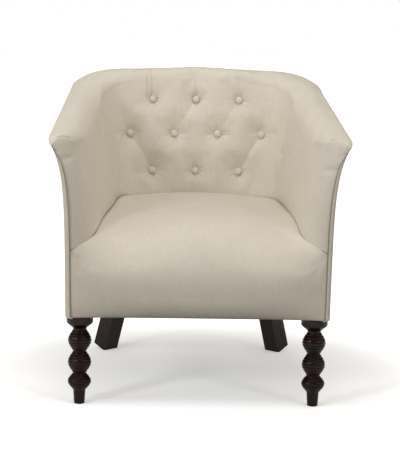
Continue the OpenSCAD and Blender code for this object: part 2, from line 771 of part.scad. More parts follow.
module front_bolt_space() {
    translate([front_leg_x, front_leg_y, frame_z - 1])
        cylinder(h = block_h + 2, d = bolt_d + 2 * bolt_gap);
    translate([front_leg_x, front_leg_y, frame_z + block_h])
        cylinder(h = 2 * tee_t + bolt_past, d = tee_d + 2 * nut_space);
}
module corner_block() {
    x0 = rail_x - rail_t;
    difference() {
        translate([0, 0, frame_z]) linear_extrude(block_h)
            polygon([
                [x0, rail_foot_y], [x0 - block_len, rail_foot_y],
                [x0 - block_len, rail_foot_y + block_end], [x0 - block_end, rail_foot_y + block_len],
                [x0, rail_foot_y + block_len]
            ]);
        front_bolt_space();
        each_screw() screw_hole();
    }
}
module front_corner_blocks() {
    color(wood) placed() {
        corner_block();
        on_left() corner_block();
    }
}

// Upright frame: blocks between the outside surface and the plane behind the webbing
function frame_front(u, z) = inside_line(u, z, face_d(u) + frame_d, 0);
function frame_rear(u, z) = outside(u, z, frame_inset + corner_relief(u), 0);
module wall_block(us, levels, low, high) {
    a = [for (i = [0 : len(us) - 1])
        [for (h = levels) frame_front(us[i], lerp(low[i], high[i], h))]];
    b = [for (i = [0 : len(us) - 1])
        [for (h = levels) frame_rear(us[i], lerp(low[i], high[i], h))]];
    color(wood) placed() slab(a, b);
}
function rail_base(us) = [for (u = us) top_rail_z(u, 0) - top_rail_h];
function rail_crest(us) = [for (u = us) top_rail_z(u, 0)];
function post_top(us) = [for (z = rail_base(us)) z - joint_gap];
post_u0 = post_y / nose_len;
post_u1 = (post_y + post_d) / nose_len;
post_levels = [0, 0.3, 0.55, 0.75, 0.9, 1];
rail_levels = [0, 0.5, 1];
module right_front_arm_post() {
    us = [post_u0, post_u1];
    wall_block(us, post_levels, [rail_top_z, rail_top_z], post_top(us));
}
module left_front_arm_post() {
    on_left() right_front_arm_post();
}

// The back posts grow from the corner segments and reach the inner plane at their knees
post_us = [post_first, 2.46, cover_split, post_last];
post_foot_z = frame_z + block_h;
post_foot_d = 45;
post_knee_h = 54;
post_knee_z = foam_z + post_knee_h;
function post_inner(u, z) =
    let (k = smooth((z - post_foot_z) / (post_knee_z - post_foot_z)))
    lerp(outside(u, z, frame_inset + post_foot_d, 0), frame_front(u, z), k);
module right_back_post() {
    levels = [0, 0.15, 0.3, 0.4, 0.6, 0.8, 0.9, 1];
    high = post_top(post_us);
    a = [for (i = [0 : len(post_us) - 1])
        [for (h = levels) post_inner(post_us[i], lerp(post_foot_z, high[i], h))]];
    b = [for (i = [0 : len(post_us) - 1])
        [for (h = levels) frame_rear(post_us[i], lerp(post_foot_z, high[i], h))]];
    color(wood) placed() slab(a, b);
}
module left_back_post() {
    on_left() right_back_post();
}
module right_arm_top_rail() {
    us = [post_u0, post_u1, 1, 1.3, 1.65, 2, 2.18, post_first, 2.46, cover_split - split_gap];
    wall_block(us, rail_levels, rail_base(us), rail_crest(us));
}
module left_arm_top_rail() {
    on_left() right_arm_top_rail();
}
module top_back_rail() {
    us = both_sides(concat([cover_split + split_gap], back_us));
    wall_block(us, rail_levels, rail_base(us), rail_crest(us));
}
tack_z = 400;
tack_t = 22;
module tack_rail(us) {
    zs = [tack_z, tack_z + tack_rail_h];
    function behind(u, z) =
        let (p = frame_front(u, z), q = frame_rear(u, z)) p + (q - p) * tack_t / norm(q - p);
    a = [for (u = us) [for (z = zs) frame_front(u, z)]];
    b = [for (u = us) [for (z = zs) behind(u, z)]];
    color(wood) placed() slab(a, b);
}
module right_arm_tack_rail() {
    tack_rail([post_u1 + split_gap, 1, 1.3, 1.65, 2, 2.18, post_first - split_gap]);
}
module left_arm_tack_rail() {
    on_left() right_arm_tack_rail();
}
module back_tack_rail() {
    tack_rail(both_sides([
        for (i = [0 : len(back_us) - 1]) back_us[i] + (i == 0 ? split_gap : 0)
    ]));
}

// Webbing, hessian and foam of the walls
sheet_margin = 2;
sheet_levels = [0, 0.25, 0.5, 0.75, 1];
module sheet_in_wall(us, d, t) {
    low = tack_z + sheet_margin;
    high = [for (u = us) top_rail_z(u, 0) - sheet_margin];
    a = [for (i = [0 : len(us) - 1]) [for (h = sheet_levels)
        inside_line(us[i], lerp(low, high[i], h), face_d(us[i]) + d, 0)]];
    b = [for (i = [0 : len(us) - 1]) [for (h = sheet_levels)
        inside_line(us[i], lerp(low, high[i], h), face_d(us[i]) + d + t, 0)]];
    slab(a, b);
}
sheet_end_gap = 0.01;
module right_arm_hessian() {
    us = [post_u0, post_u1, 1, 1.3, 1.65, 2, 2.18, post_first, cover_split - sheet_end_gap];
    color("burlywood") placed() sheet_in_wall(us, wall_gap, hessian_t);
}
module left_arm_hessian() {
    on_left() right_arm_hessian();
}
module back_hessian() {
    us = both_sides(concat([cover_split + sheet_end_gap], back_us));
    color("burlywood") placed() sheet_in_wall(us, wall_gap, hessian_t);
}
strap_w = 38;
module back_webbing() {
    half = strap_w / 2 / inside_straight;
    color("wheat") placed()
        for (i = [-1.5 : 1 : 1.5]) {
            u = button_station(i * button_pitch / 2);
            sheet_in_wall([u - half, u, u + half], 2 * wall_gap + hessian_t, web_t);
        }
}
foam_back_us = both_sides(concat([cover_split + split_gap], back_us));
foam_rows = concat([0, 0.25, 0.5, 0.75, 1], roll_rows);
module back_foam() {
    a = [for (u = foam_back_us) [for (v = foam_rows) skin(u, v, back_depth(v) + wall_gap, 0)]];
    b = [for (u = foam_back_us) [for (v = foam_rows) foam_back(u, v, 0)]];
    color("khaki") placed() slab(a, b);
}
module right_arm_foam() {
    a = [for (u = arm_us) [for (v = arm_rows) skin(u, v, foam_skin_d, foam_skin_d)]];
    b = [for (u = arm_us) [for (v = arm_rows) foam_back(u, v, foam_skin_d)]];
    color("khaki") placed() slab(a, b);
}
module left_arm_foam() {
    on_left() right_arm_foam();
}

// Seat: springs, clips, hessian, foam and the padding of the front face
spring_end_in = 21;
spring_pitch = 2 * (rear_rail_half - spring_end_in) / (spring_count - 1);
spring_amp = 22;
spring_waves = 9;
spring_y0 = front_rail_y + 6;
spring_y1 = base_depth - frame_inset - 6;
module seat_springs() {
    steps = 6 * spring_waves;
    color(steel) placed()
        for (i = [0 : spring_count - 1])
            translate([(i - (spring_count - 1) / 2) * spring_pitch, 0, 0])
                tube(
                    [for (k = [0 : steps])
                        [spring_amp * sin(360 * spring_waves * k / steps),
                         lerp(spring_y0, spring_y1, k / steps), spring_z]],
                    spring_wire / 2, 6
                );
}
clip_w = 16;
clip_len = 18;
clip_in = 1;
module spring_clips() {
    color(steel) placed()
        for (i = [0 : spring_count - 1],
             y = [front_rail_y + clip_in, base_depth - frame_inset - clip_in - clip_len])
            translate([(i - (spring_count - 1) / 2) * spring_pitch - clip_w / 2, y, rail_top_z])
                cube([clip_w, clip_len, clip_h - layer_gap / 2]);
}
// The hessian is nailed to the rails and notched round the posts
nail_margin = 4;
notch_gap = 2;
module notch(inner, outer) {
    n = len(inner);
    away = [for (i = [0 : n - 1]) (outer[i] - inner[i]) / norm(outer[i] - inner[i])];
    near = [for (i = [0 : n - 1]) inner[i] - notch_gap * away[i]];
    far = [for (i = [n - 1 : -1 : 0]) outer[i] + rail_t * away[i]];
    linear_extrude(2 * hessian_t) polygon([for (p = concat(near, far)) [p[0], p[1]]]);
}
module post_notches() {
    z = seat_hessian_z;
    side_us = [post_u0 - notch_gap / nose_len, post_u1 + notch_gap / nose_len];
    rear_us = [post_first - sheet_end_gap, 2.46, cover_split, post_last + sheet_end_gap];
    translate([0, 0, z - hessian_t / 2]) {
        notch([for (u = side_us) frame_front(u, z)], [for (u = side_us) frame_rear(u, z)]);
        notch([for (u = rear_us) post_inner(u, z)], [for (u = rear_us) frame_rear(u, z)]);
    }
}
module seat_hessian() {
    x = rail_x - nail_margin;
    right = [
        [x - rail_t / 2, front_rail_y + nail_margin], [x, rail_foot_y],
        [x, corner_start_y], [rear_rail_half, base_depth - frame_inset - nail_margin]
    ];
    outline = concat(right, [for (i = [len(right) - 1 : -1 : 0]) [-right[i][0], right[i][1]]]);
    color("burlywood") placed() difference() {
        translate([0, 0, seat_hessian_z]) linear_extrude(hessian_t) polygon(outline);
        post_notches();
        on_left() post_notches();
    }
}
foam_inset = 6;
seat_foam_gap = 2;
module seat_foam() {
    rows = [1, 1.22, 1.46, 1.7, 2, 2.5, 3];
    ws = [1, 0.9, 0.78, 0.6, 0.4, 0.2, 0, -0.2, -0.4, -0.6, -0.78, -0.9, -1];
    a = [for (w = ws) [for (r = rows) foam_top(seat_point(w, r, foam_skin_d + seat_foam_gap))]];
    b = [for (row = a) [for (p = row) [p[0], p[1], foam_z]]];
    color("khaki") placed() slab(a, b);
}
foam_min_t = 4;
function foam_top(p) =
    [
        p[0] * (1 - foam_inset / base_half_w),
        max(foam_skin_d, min(p[1], seat_depth - seat_gap - foam_inset)),
        max(p[2] - seat_foam_gap, foam_z + foam_min_t)
    ];
module front_edge_padding() {
    ws = [0.93, 0.86, 0.78, 0.6, 0.4, 0.2, 0, -0.2, -0.4, -0.6, -0.78, -0.86, -0.93];
    zs = [frame_z, frame_z + ease_h / 3, frame_z + ease_h, rail_top_z];
    function front_at(w, z) =
        seat_point(w, (z - hem_z) / (front_top_z(w) - hem_z), foam_skin_d + 3 * layer_gap);
    a = [for (w = ws) [for (z = zs) let (p = front_at(w, z)) [p[0], p[1], z]]];
    b = [for (w = ws) [for (z = zs) [front_at(w, z)[0], rail_front_y(z) - layer_gap, z]]];
    color("ivory") placed() slab(a, b);
}

// Dust cover under the frame, cut round the legs
dust_t = 1;
leg_space = 1;
module leg_openings() {
    opening = rear_leg_side + 2 * leg_space;
    translate([front_leg_x, front_leg_y, collar_z]) cylinder(h = 2 * collar_h, d = collar_d + 2 * leg_space);
    along_rear_leg()
        rotate([0, 0, 45]) translate([-opening / 2, -opening / 2, frame_z / 2])
            cube([opening, opening, rear_len]);
}
module dust_cover() {
    color("#222222") placed() difference() {
        translate([0, 0, frame_z - dust_t]) linear_extrude(dust_t)
            polygon(bottom_outline(frame_inset + nail_margin));
        leg_openings();
        on_left() leg_openings();
    }
}

// Fasteners
bolt_start = 0.5;
rear_grip = rear_seat_along - rear_top_along;
bolt_past = 3;
tee_t = 2;
module bolts_of_one_side() {
    translate([front_leg_x, front_leg_y, frame_z - bolt_in_leg + bolt_start])
        cylinder(h = bolt_in_leg + block_h + tee_t + bolt_past, d = bolt_d);
    along_rear_leg()
        translate([0, 0, rear_top_along - bolt_in_leg + bolt_start])
            cylinder(h = rear_grip + bolt_in_leg + tee_t + bolt_past, d = bolt_d);
}
module hanger_bolts() {
    color(steel) placed() {
        bolts_of_one_side();
        on_left() bolts_of_one_side();
    }
}
module tee_nut() {
    difference() {
        cylinder(h = tee_t, d = tee_d);
        translate([0, 0, -1]) cylinder(h = tee_t + 2, d = bolt_d + 2 * bolt_gap);
    }
}
module nuts_of_one_side() {
    translate([front_leg_x, front_leg_y, frame_z + block_h]) tee_nut();
    along_rear_leg() translate([0, 0, rear_seat_along]) tee_nut();
}
module tee_nuts() {
    color(steel) placed() {
        nuts_of_one_side();
        on_left() nuts_of_one_side();
    }
}

// Screws through the front rail into the corner blocks, two at each end
screw_x = rail_x - rail_t - block_len / 2;
screw_shares = [0.3, 0.7];
screw_head_d = 2 * screw_d;
screw_head_h = 3;
screw_len = 58;
screw_sink = 4;
module each_screw() {
    for (side = [-1, 1], h = screw_shares) {
        z = frame_z + h * block_h;
        translate([side * screw_x, rail_front_y(z - screw_head_d / 2), z]) rotate([-90, 0, 0]) children();
    }
}
module screw_hole() {
    translate([0, 0, -1]) cylinder(h = screw_len + 2, d = screw_d + 2 * bolt_gap);
    translate([0, 0, -screw_sink])
        cylinder(h = screw_head_h + screw_sink + bolt_gap, d = screw_head_d + 2 * bolt_gap);
}
module corner_block_screws() {
    color(steel) placed() each_screw() {
        cylinder(h = screw_len, d = screw_d);
        cylinder(h = screw_head_h, d = screw_head_d);
    }
}

seat_cover();
inside_back_cover();
inside_left_arm_cover();
inside_right_arm_cover();
outside_left_arm_panel();
outside_right_arm_panel();
outside_back_panel();
left_arm_seam_cord();
right_arm_seam_cord();
tufting_buttons();
front_left_leg();
front_right_leg();
rear_left_leg();
rear_right_leg();
dust_cover();
front_rail();
left_side_rail();
right_side_rail();
rear_rail();
rear_left_corner_segment();
rear_right_corner_segment();
front_corner_blocks();
left_front_arm_post();
right_front_arm_post();
left_back_post();
right_back_post();
left_arm_top_rail();
right_arm_top_rail();
top_back_rail();
left_arm_tack_rail();
right_arm_tack_rail();
back_tack_rail();
seat_springs();
spring_clips();
seat_hessian();
seat_foam();
front_edge_padding();
back_webbing();
back_hessian();
left_arm_hessian();
right_arm_hessian();
back_foam();
left_arm_foam();
right_arm_foam();
button_washers();
hanger_bolts();
tee_nuts();
corner_block_screws();
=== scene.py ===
"""An upholstered tub chair dressed for a photograph: its cloth, padding, buttons, legs and frame."""

from __future__ import annotations

import logging
import math
from dataclasses import dataclass, field
from enum import Enum
from typing import Iterable

import bmesh
import bpy
import numpy as np
from mathutils import Matrix, Vector

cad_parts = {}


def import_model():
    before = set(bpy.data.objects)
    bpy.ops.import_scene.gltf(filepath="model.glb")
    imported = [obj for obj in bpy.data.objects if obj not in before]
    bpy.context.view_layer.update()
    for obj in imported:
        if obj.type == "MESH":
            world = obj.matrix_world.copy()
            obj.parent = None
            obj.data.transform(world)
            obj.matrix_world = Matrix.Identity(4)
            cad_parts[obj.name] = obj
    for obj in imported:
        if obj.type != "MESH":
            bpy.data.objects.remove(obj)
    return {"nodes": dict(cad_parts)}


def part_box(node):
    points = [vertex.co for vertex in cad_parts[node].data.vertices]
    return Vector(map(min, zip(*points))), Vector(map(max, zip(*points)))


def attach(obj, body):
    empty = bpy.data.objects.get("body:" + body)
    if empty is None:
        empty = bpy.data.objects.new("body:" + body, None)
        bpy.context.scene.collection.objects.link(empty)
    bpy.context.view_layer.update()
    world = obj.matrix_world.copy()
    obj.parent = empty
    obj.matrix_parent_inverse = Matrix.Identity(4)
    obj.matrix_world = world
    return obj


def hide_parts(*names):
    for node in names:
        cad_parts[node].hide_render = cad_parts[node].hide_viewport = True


LOG = logging.getLogger("tub_chair")
MM = 0.001
ROOT = "root"
CLOTH_PLACE = "cloth_place"
SAME_POINT = 2e-5
# Sockets of a Mix node for colours, which share their names with those for numbers
MIX_FIRST, MIX_SECOND, MIX_RESULT = 6, 7, 2

Array = np.ndarray
Colour = tuple[float, float, float]
Triple = tuple[float, float, float]
Line = tuple[float, float, float, float]


class Slot(Enum):
    """Material slots of the chair's record."""

    LINEN = "linen"
    STAINED_WOOD = "stained_wood"
    FRAME_WOOD = "frame_wood"
    DUST_CLOTH = "dust_cloth"
    HESSIAN = "hessian"
    WEBBING = "webbing"
    FOAM = "foam"
    WADDING = "wadding"
    ZINC_STEEL = "zinc_steel"
    WASHER_PLASTIC = "washer_plastic"


class Side(Enum):
    """Sides of the chair as seen from the front; the value is the sign of X."""

    LEFT = -1
    RIGHT = 1


def lerp(a: Array | float, b: Array | float, t: Array | float) -> Array | float:
    """Blend from a to b as t goes from 0 to 1."""
    return a + (b - a) * t


def smooth(t: Array | float) -> Array:
    """Smooth step from 0 to 1."""
    c = np.clip(t, 0.0, 1.0)
    return c * c * (3 - 2 * c)


def quarter(t: Array | float) -> Array:
    """Height of a quarter circle over t from 0 to 1."""
    c = np.clip(t, 0.0, 1.0)
    return np.sqrt(1 - (1 - c) ** 2)


def spread(start: float, stop: float, count: int) -> Array:
    """Count even values from start up to stop, without stop itself."""
    return np.linspace(start, stop, count, endpoint=False)


def from_front(u: Array) -> Array:
    """Stations of both halves of the tub, counted from the nearer arm's front: 0 to 4."""
    return np.minimum(u, 8 - u)


@dataclass(frozen=True)
class TubShape:
    """The body's own sizes in millimetres, with Y measured back from the front face.

    Station u runs round the tub: 0 at the right arm's front, 1 at the end of its rounded nose, 2 to 3
    round the back corner, 4 in the middle of the back and 8 at the left arm's front.
    """

    hem_z: float = 219
    back_top_z: float = 782
    base_half_w: float = 313
    tip_half_w: float = 363
    shoulder_half_w: float = 332
    base_depth: float = 626
    top_depth: float = 645
    arm_tip_z: float = 655
    arm_slope: float = 0.153
    corner_top_z: float = 777
    base_corner_r: float = 160
    top_corner_r: float = 110
    back_bow: float = 7
    roll_w: float = 76
    roll_inner_drop: float = 32
    roll_outer_drop: float = 11
    lip_drop: float = 12
    lip_overhang: float = 10
    nose_len: float = 100
    tip_len: float = 34
    panel_swell: float = 6
    swell_run: float = 30
    lean_share: float = 0.16
    lean_power: float = 6
    inside_half_w: float = 256
    inside_rear_half_w: float = 238
    seat_depth: float = 508
    back_top_depth: float = 568
    inside_corner_r: float = 90
    deck_side_z: float = 440
    deck_crown: float = 12
    deck_rise: float = 8
    front_corner_z: float = 377
    side_fall: float = 300
    mid_fall: float = 165
    mid_front_z: float = 312
    front_crown: float = 6.5
    soft_start: float = 45
    soft_power: float = 2.8
    hem_turn: float = 14
    hem_turn_h: float = 48
    panel_t: float = 2.2
    layer_gap: float = 0.3
    seat_gap: float = 1.2
    tuck: float = 20
    tuck_run: float = 60
    foot_over_deck: float = 1
    middle_y: float = 345.879

    @property
    def inside_straight(self) -> float:
        """Half length of the straight part of the inside back."""
        return self.inside_rear_half_w - self.inside_corner_r

    @property
    def seat_ref_z(self) -> float:
        """Height at which the inside's lower plan curve lies."""
        return self.deck_side_z + 5

    def placed(self, points: Array) -> Array:
        """Points in metres in the part's own frame."""
        return (points - np.array([0.0, self.middle_y, 0.0])) * MM

    def base_curve(self, d: float = 0.0) -> tuple[float, ...]:
        """Plan curve of the body at the hem, set in by d."""
        return (self.base_half_w - d, self.base_half_w - d, self.base_depth - d, self.base_corner_r - d)

    def top_curve(self, d: float = 0.0) -> tuple[float, ...]:
        """Plan curve of the top roll's outer line, set in by d."""
        return (self.tip_half_w - d, self.shoulder_half_w - d, self.top_depth - d, self.top_corner_r - d)

    def low_inside_curve(self) -> tuple[float, ...]:
        """Plan curve of the inside at seat level."""
        return (self.inside_half_w, self.inside_rear_half_w, self.seat_depth, self.inside_corner_r)

    def top_inside_curve(self) -> tuple[float, ...]:
        """Plan curve of the inside at the roll's shoulder."""
        half = self.shoulder_half_w - self.roll_w - 4
        return (self.tip_half_w - self.roll_w, half, self.back_top_depth, half - self.inside_straight)

    def side_y(self, curve: tuple[float, ...], u: Array) -> Array:
        """Distance of a side station behind the front face."""
        straight = curve[2] - curve[3]
        return np.where(u <= 1, self.nose_len * u, lerp(self.nose_len, straight, u - 1))

    def plan(self, curve: tuple[float, ...], u: Array) -> tuple[Array, Array]:
        """X and Y of a plan curve.

        Args:
            curve: half width in front, half width at the corner, depth and corner radius.
            u: stations.

        Returns:
            X and Y at each station.
        """
        front, corner, depth, radius = curve
        h = from_front(u)
        y_side = self.side_y(curve, np.minimum(h, 2))
        x_side = lerp(front, corner, y_side / (depth - radius))
        turn = np.pi / 2 * (np.clip(h, 2, 3) - 2)
        x_corner = corner - radius + radius * np.cos(turn)
        y_corner = depth - radius + radius * np.sin(turn)
        x_back = (corner - radius) * (4 - h)
        y_back = depth + self.back_bow * (1 - np.cos(np.pi * (h - 3))) / 2
        x = np.where(h <= 2, x_side, np.where(h <= 3, x_corner, x_back))
        y = np.where(h <= 2, y_side, np.where(h <= 3, y_corner, y_back))
        return np.where(u <= 4, x, -x), y

    def crest_z(self, u: Array) -> Array:
        """Height of the top edge.

        Args:
            u: stations.

        Returns:
            The height at each station.
        """
        h = from_front(u)
        curve = self.top_curve()
        start = self.arm_tip_z + self.arm_slope * (curve[2] - curve[3])
        on_arm = self.arm_tip_z + self.arm_slope * self.side_y(curve, np.minimum(h, 2))
        on_corner = lerp(start, self.corner_top_z, np.sin(np.pi / 2 * (np.clip(h, 2, 3) - 2)))
        on_back = lerp(self.corner_top_z, self.back_top_z, np.sin(np.pi / 2 * (np.clip(h, 3, 4) - 3)))
        return np.where(h <= 2, on_arm, np.where(h <= 3, on_corner, on_back))

    def shoulder_z(self, u: Array) -> Array:
        """Height of the roll's inner shoulder."""
        return self.crest_z(u) - self.roll_inner_drop

    def roll_side_z(self, u: Array) -> Array:
        """Height of the roll's outermost line."""
        return self.crest_z(u) - self.roll_outer_drop

    def lip_z(self, u: Array) -> Array:
        """Height of the roll's lower lip."""
        return self.roll_side_z(u) - self.lip_drop

    def nose(self, u: Array) -> Array:
        """Share of the arm's full thickness that its rounded front has reached."""
        return quarter(from_front(u))

    def tip(self, u: Array) -> Array:
        """Share of the roll's full overhang that the arm's tip has reached."""
        return quarter(from_front(u) * self.nose_len / self.tip_len)

    def outside(self, u: Array, z: Array, d: float = 0.0) -> Array:
        """Points on the outside of the tub.

        Args:
            u: stations.
            z: heights.
            d: how far they are set in.

        Returns:
            The points.
        """
        h = np.clip((z - self.hem_z) / (self.lip_z(u) - self.hem_z), 0, 1)
        share = self.lean_share * h + (1 - self.lean_share) * h**self.lean_power
        low = self.plan(self.base_curve(d), u)
        high = self.plan(self.top_curve(d + self.lip_overhang), u)
        half = from_front(u)
        grow = quarter(self.nose_len * np.minimum(1, half) / self.swell_run)
        fade = np.where(half <= 2, 1, np.where(half <= 3, np.cos(np.pi / 2 * (half - 2)), 0))
        swell = self.panel_swell * grow * fade * (1 - h**self.lean_power) * np.where(u <= 4, 1, -1)
        x = lerp(low[0], high[0], share) + swell
        y = lerp(low[1], high[1], share)
        return np.stack(np.broadcast_arrays(x, y, z), axis=-1)

    def wrap_share(self, z: Array) -> Array:
        """Share of its width to which the outside panel is turned round the front, less below the tip."""
        return 0.04 + 0.96 * smooth((self.lip_z(np.array(0.0)) - z) / 45)

    def inside_line(self, u: Array, z: Array) -> Array:
        """Points on the inside of the tub, without the arms' rounded fronts.

        Args:
            u: stations.
            z: heights.

        Returns:
            The points.
        """
        low = self.plan(self.low_inside_curve(), u)
        high = self.plan(self.top_inside_curve(), u)
        t = (z - self.seat_ref_z) / (self.shoulder_z(u) - self.seat_ref_z)
        return np.stack(np.broadcast_arrays(lerp(low[0], high[0], t), lerp(low[1], high[1], t), z), axis=-1)

    def inner_point(self, u: Array, z: Array) -> Array:
        """Points on the inside wall with the arms' rounded fronts."""
        return lerp(self.outside(u, z), self.inside_line(u, z), self.nose(u)[..., None])

    def side_deck_z(self, y: Array) -> Array:
        """Height of the deck along the arms."""
        front = lerp(self.front_corner_z, self.deck_side_z, quarter(y / self.side_fall))
        rise = self.deck_rise * (y - self.side_fall) / (self.seat_depth - self.side_fall)
        return np.where(y < self.side_fall, front, self.deck_side_z + rise)

    def wall_foot_z(self, u: Array) -> Array:
        """Height of the inside wall's foot, which is tucked in behind the seat.

        Args:
            u: stations.

        Returns:
            The height at each station.
        """
        h = from_front(u)
        y = np.where(h <= 2, self.side_y(self.low_inside_curve(), np.minimum(h, 2)), self.seat_depth)
        y = np.minimum(y, self.seat_depth)
        return self.side_deck_z(y) + self.foot_over_deck - self.tuck * smooth(y / self.tuck_run)

    def roll_point(self, u: Array, v: Array) -> Array:
        """Points on the top roll.

        Args:
            u: stations.
            v: rows: 1 at the inner shoulder, 2 on top, 3 outermost and 4 at the lip.

        Returns:
            The points.
        """
        outer = np.stack(self.plan(self.top_curve(), u), -1)
        inner = np.stack(self.plan(self.top_inside_curve(), u), -1)
        lip = np.stack(self.plan(self.top_curve(self.lip_overhang), u), -1)
        middle = (outer + inner) / 2
        top, side, low = self.crest_z(u), self.roll_side_z(u), self.lip_z(u)
        a1 = np.pi / 2 * (np.clip(v, 1, 2) - 1)
        a2 = np.pi / 2 * (np.clip(v, 2, 3) - 2)
        a3 = np.pi / 2 * (np.clip(v, 3, 4) - 3)
        flat = np.where((v <= 2)[..., None], lerp(middle, inner, np.cos(a1)[..., None]),
                        np.where((v <= 3)[..., None], lerp(middle, outer, np.sin(a2)[..., None]),
                                 lerp(outer, lip, (1 - np.cos(a3))[..., None])))
        z = np.where(v <= 2, lerp(self.shoulder_z(u), top, np.sin(a1)),
                     np.where(v <= 3, lerp(side, top, np.cos(a2)), lerp(side, low, np.sin(a3))))
        return np.concatenate([flat, z[..., None]], axis=-1)

    def skin(self, u: Array, v: Array) -> Array:
        """Points on the inside cover.

        Args:
            u: stations.
            v: rows: 0 at the cover's foot, 1 at the shoulder, and on over the roll to 4.

        Returns:
            The points.
        """
        u, v = np.broadcast_arrays(u, v)
        wall = self.inner_point(u, lerp(self.wall_foot_z(u), self.shoulder_z(u), np.clip(v, 0, 1)))
        nose, tip = self.nose(u), self.tip(u)
        k = np.where(v <= 2, nose, np.where(v <= 3, lerp(nose, tip, v - 2), tip))
        p = self.roll_point(u, v)
        lip_x, lip_y = self.plan(self.top_curve(self.lip_overhang), u)
        q = np.stack([lip_x, lip_y, self.lip_z(u)], -1)
        over = np.stack([lerp(q[..., 0], p[..., 0], k), lerp(q[..., 1], p[..., 1], k),
                         lerp(q[..., 2], p[..., 2], tip)], -1)
        return np.where((v <= 1)[..., None], wall, over)

    def wall_half_w(self, y: Array, z: Array) -> Array:
        """Half width between the inside walls.

        Args:
            y: distances behind the front face.
            z: heights.

        Returns:
            The half width at each point.
        """
        front, corner, depth, radius = self.low_inside_curve()
        straight = depth - radius
        rounded = corner - radius + np.sqrt(np.maximum(0, radius**2 - (y - straight) ** 2))
        flat = np.where(y < straight, lerp(front, corner, y / straight), rounded)
        top = self.top_inside_curve()
        t = np.clip(y / straight, 0, 1)
        lean = (lerp(top[0], top[1], t) - lerp(front, corner, t))
        lean = lean / (self.shoulder_z(np.array(1.0)) - self.seat_ref_z)
        x = flat + np.minimum(0, lean * (z - self.seat_ref_z))
        u = np.clip(y / self.nose_len, 0, 1)
        edge = self.outside(u, z)[..., 0]
        return np.where(y < self.nose_len, lerp(edge, x, self.nose(u)), x)

    def seat_half_w(self, y: Array, z: Array) -> Array:
        """Half width of the seat cover."""
        near = np.maximum(0, y)
        gap = lerp(self.panel_t + self.layer_gap, self.seat_gap, np.clip(y / 5, 0, 1))
        return self.wall_half_w(near, z) - gap

    def turned_in(self, w: Array, z: Array) -> Array:
        """How far the front face has turned in under the frame."""
        return self.hem_turn * (1 - w**4) * (1 - quarter((z - self.hem_z) / self.hem_turn_h))

    def seat_point(self, w: Array, r: Array) -> Array:
        """Points on the seat.

        Args:
            w: places across, from -1 to 1.
            r: rows: up the front to 1, over the edge to 2 and back to 3.

        Returns:
            The points.
        """
        w, r = np.broadcast_arrays(w, r)
        corner = w**4
        start = lerp(self.mid_front_z - self.soft_start, self.front_corner_z, corner)
        bulge = self.front_crown * (1 - corner)
        fall = lerp(self.mid_fall, self.side_fall, w * w)
        top = self.deck_side_z + self.deck_crown * (1 - w * w)
        back = self.seat_depth + self.back_bow * (1 + np.cos(np.pi * w)) / 2 - self.seat_gap
        power = lerp(self.soft_power, 2.0, corner)
        a = np.pi / 2 * np.clip(r - 1, 0, 1) ** (power / 2)
        plain_y = np.where(r <= 1, -bulge * np.sin(np.pi / 2 * np.clip(r, 0, 1)),
                           np.where(r <= 2, lerp(fall, -bulge, np.cos(a)), lerp(fall, back, r - 2)))
        z = np.where(r <= 1, lerp(self.hem_z, start, r),
                     np.where(r <= 2, lerp(start, top, np.sin(a) ** (2 / power)),
                              top + self.deck_rise * (plain_y - fall) / (self.seat_depth - fall)))
        y = plain_y + np.where(r <= 1, self.turned_in(w, z), 0)
        return np.stack([w * self.seat_half_w(plain_y, z), y, z], -1)


def grid_faces(columns: int, rows: int) -> Array:
    """Numbers of the four corners of each face of a grid of points."""
    i, j = np.meshgrid(np.arange(columns - 1), np.arange(rows - 1), indexing="ij")
    a = (i * rows + j).ravel()
    return np.stack([a, a + rows, a + rows + 1, a + 1], 1)


def tube_faces(rings: int, sides: int) -> list:
    """Faces of a closed tube of rings, with its two ends.

    Args:
        rings: number of rings.
        sides: number of points on each ring.

    Returns:
        Lists of vertex numbers.
    """
    i, k = np.meshgrid(np.arange(rings - 1), np.arange(sides), indexing="ij")
    low, nxt = i * sides + k, i * sides + (k + 1) % sides
    walls = np.stack([low, nxt, nxt + sides, low + sides], -1).reshape(-1, 4).tolist()
    last = (rings - 1) * sides
    return [*walls, list(range(sides))[::-1], [last + side for side in range(sides)]]


def beside(x: Array, z: Array, line: Line) -> tuple[Array, Array]:
    """Where points lie beside and along a line.

    Args:
        x: places across.
        z: heights.
        line: two points of the line.

    Returns:
        Signed distance from the endless line, and place between its points from 0 to 1.
    """
    x0, z0, x1, z1 = line
    dx, dz = x1 - x0, z1 - z0
    length = math.hypot(dx, dz)
    t = ((x - x0) * dx + (z - z0) * dz) / length**2
    return ((x - x0) * dz - (z - z0) * dx) / length, t


def off_line(x: Array, z: Array, line: Line) -> Array:
    """Distance of points from a line between two points.

    Args:
        x: places across.
        z: heights.
        line: its two ends.

    Returns:
        The distance, negative on the line's left.
    """
    s, t = beside(x, z, line)
    length = math.hypot(line[2] - line[0], line[3] - line[1])
    past = np.maximum(0, np.maximum(-t, t - 1)) * length
    return np.copysign(np.hypot(s, past), s)


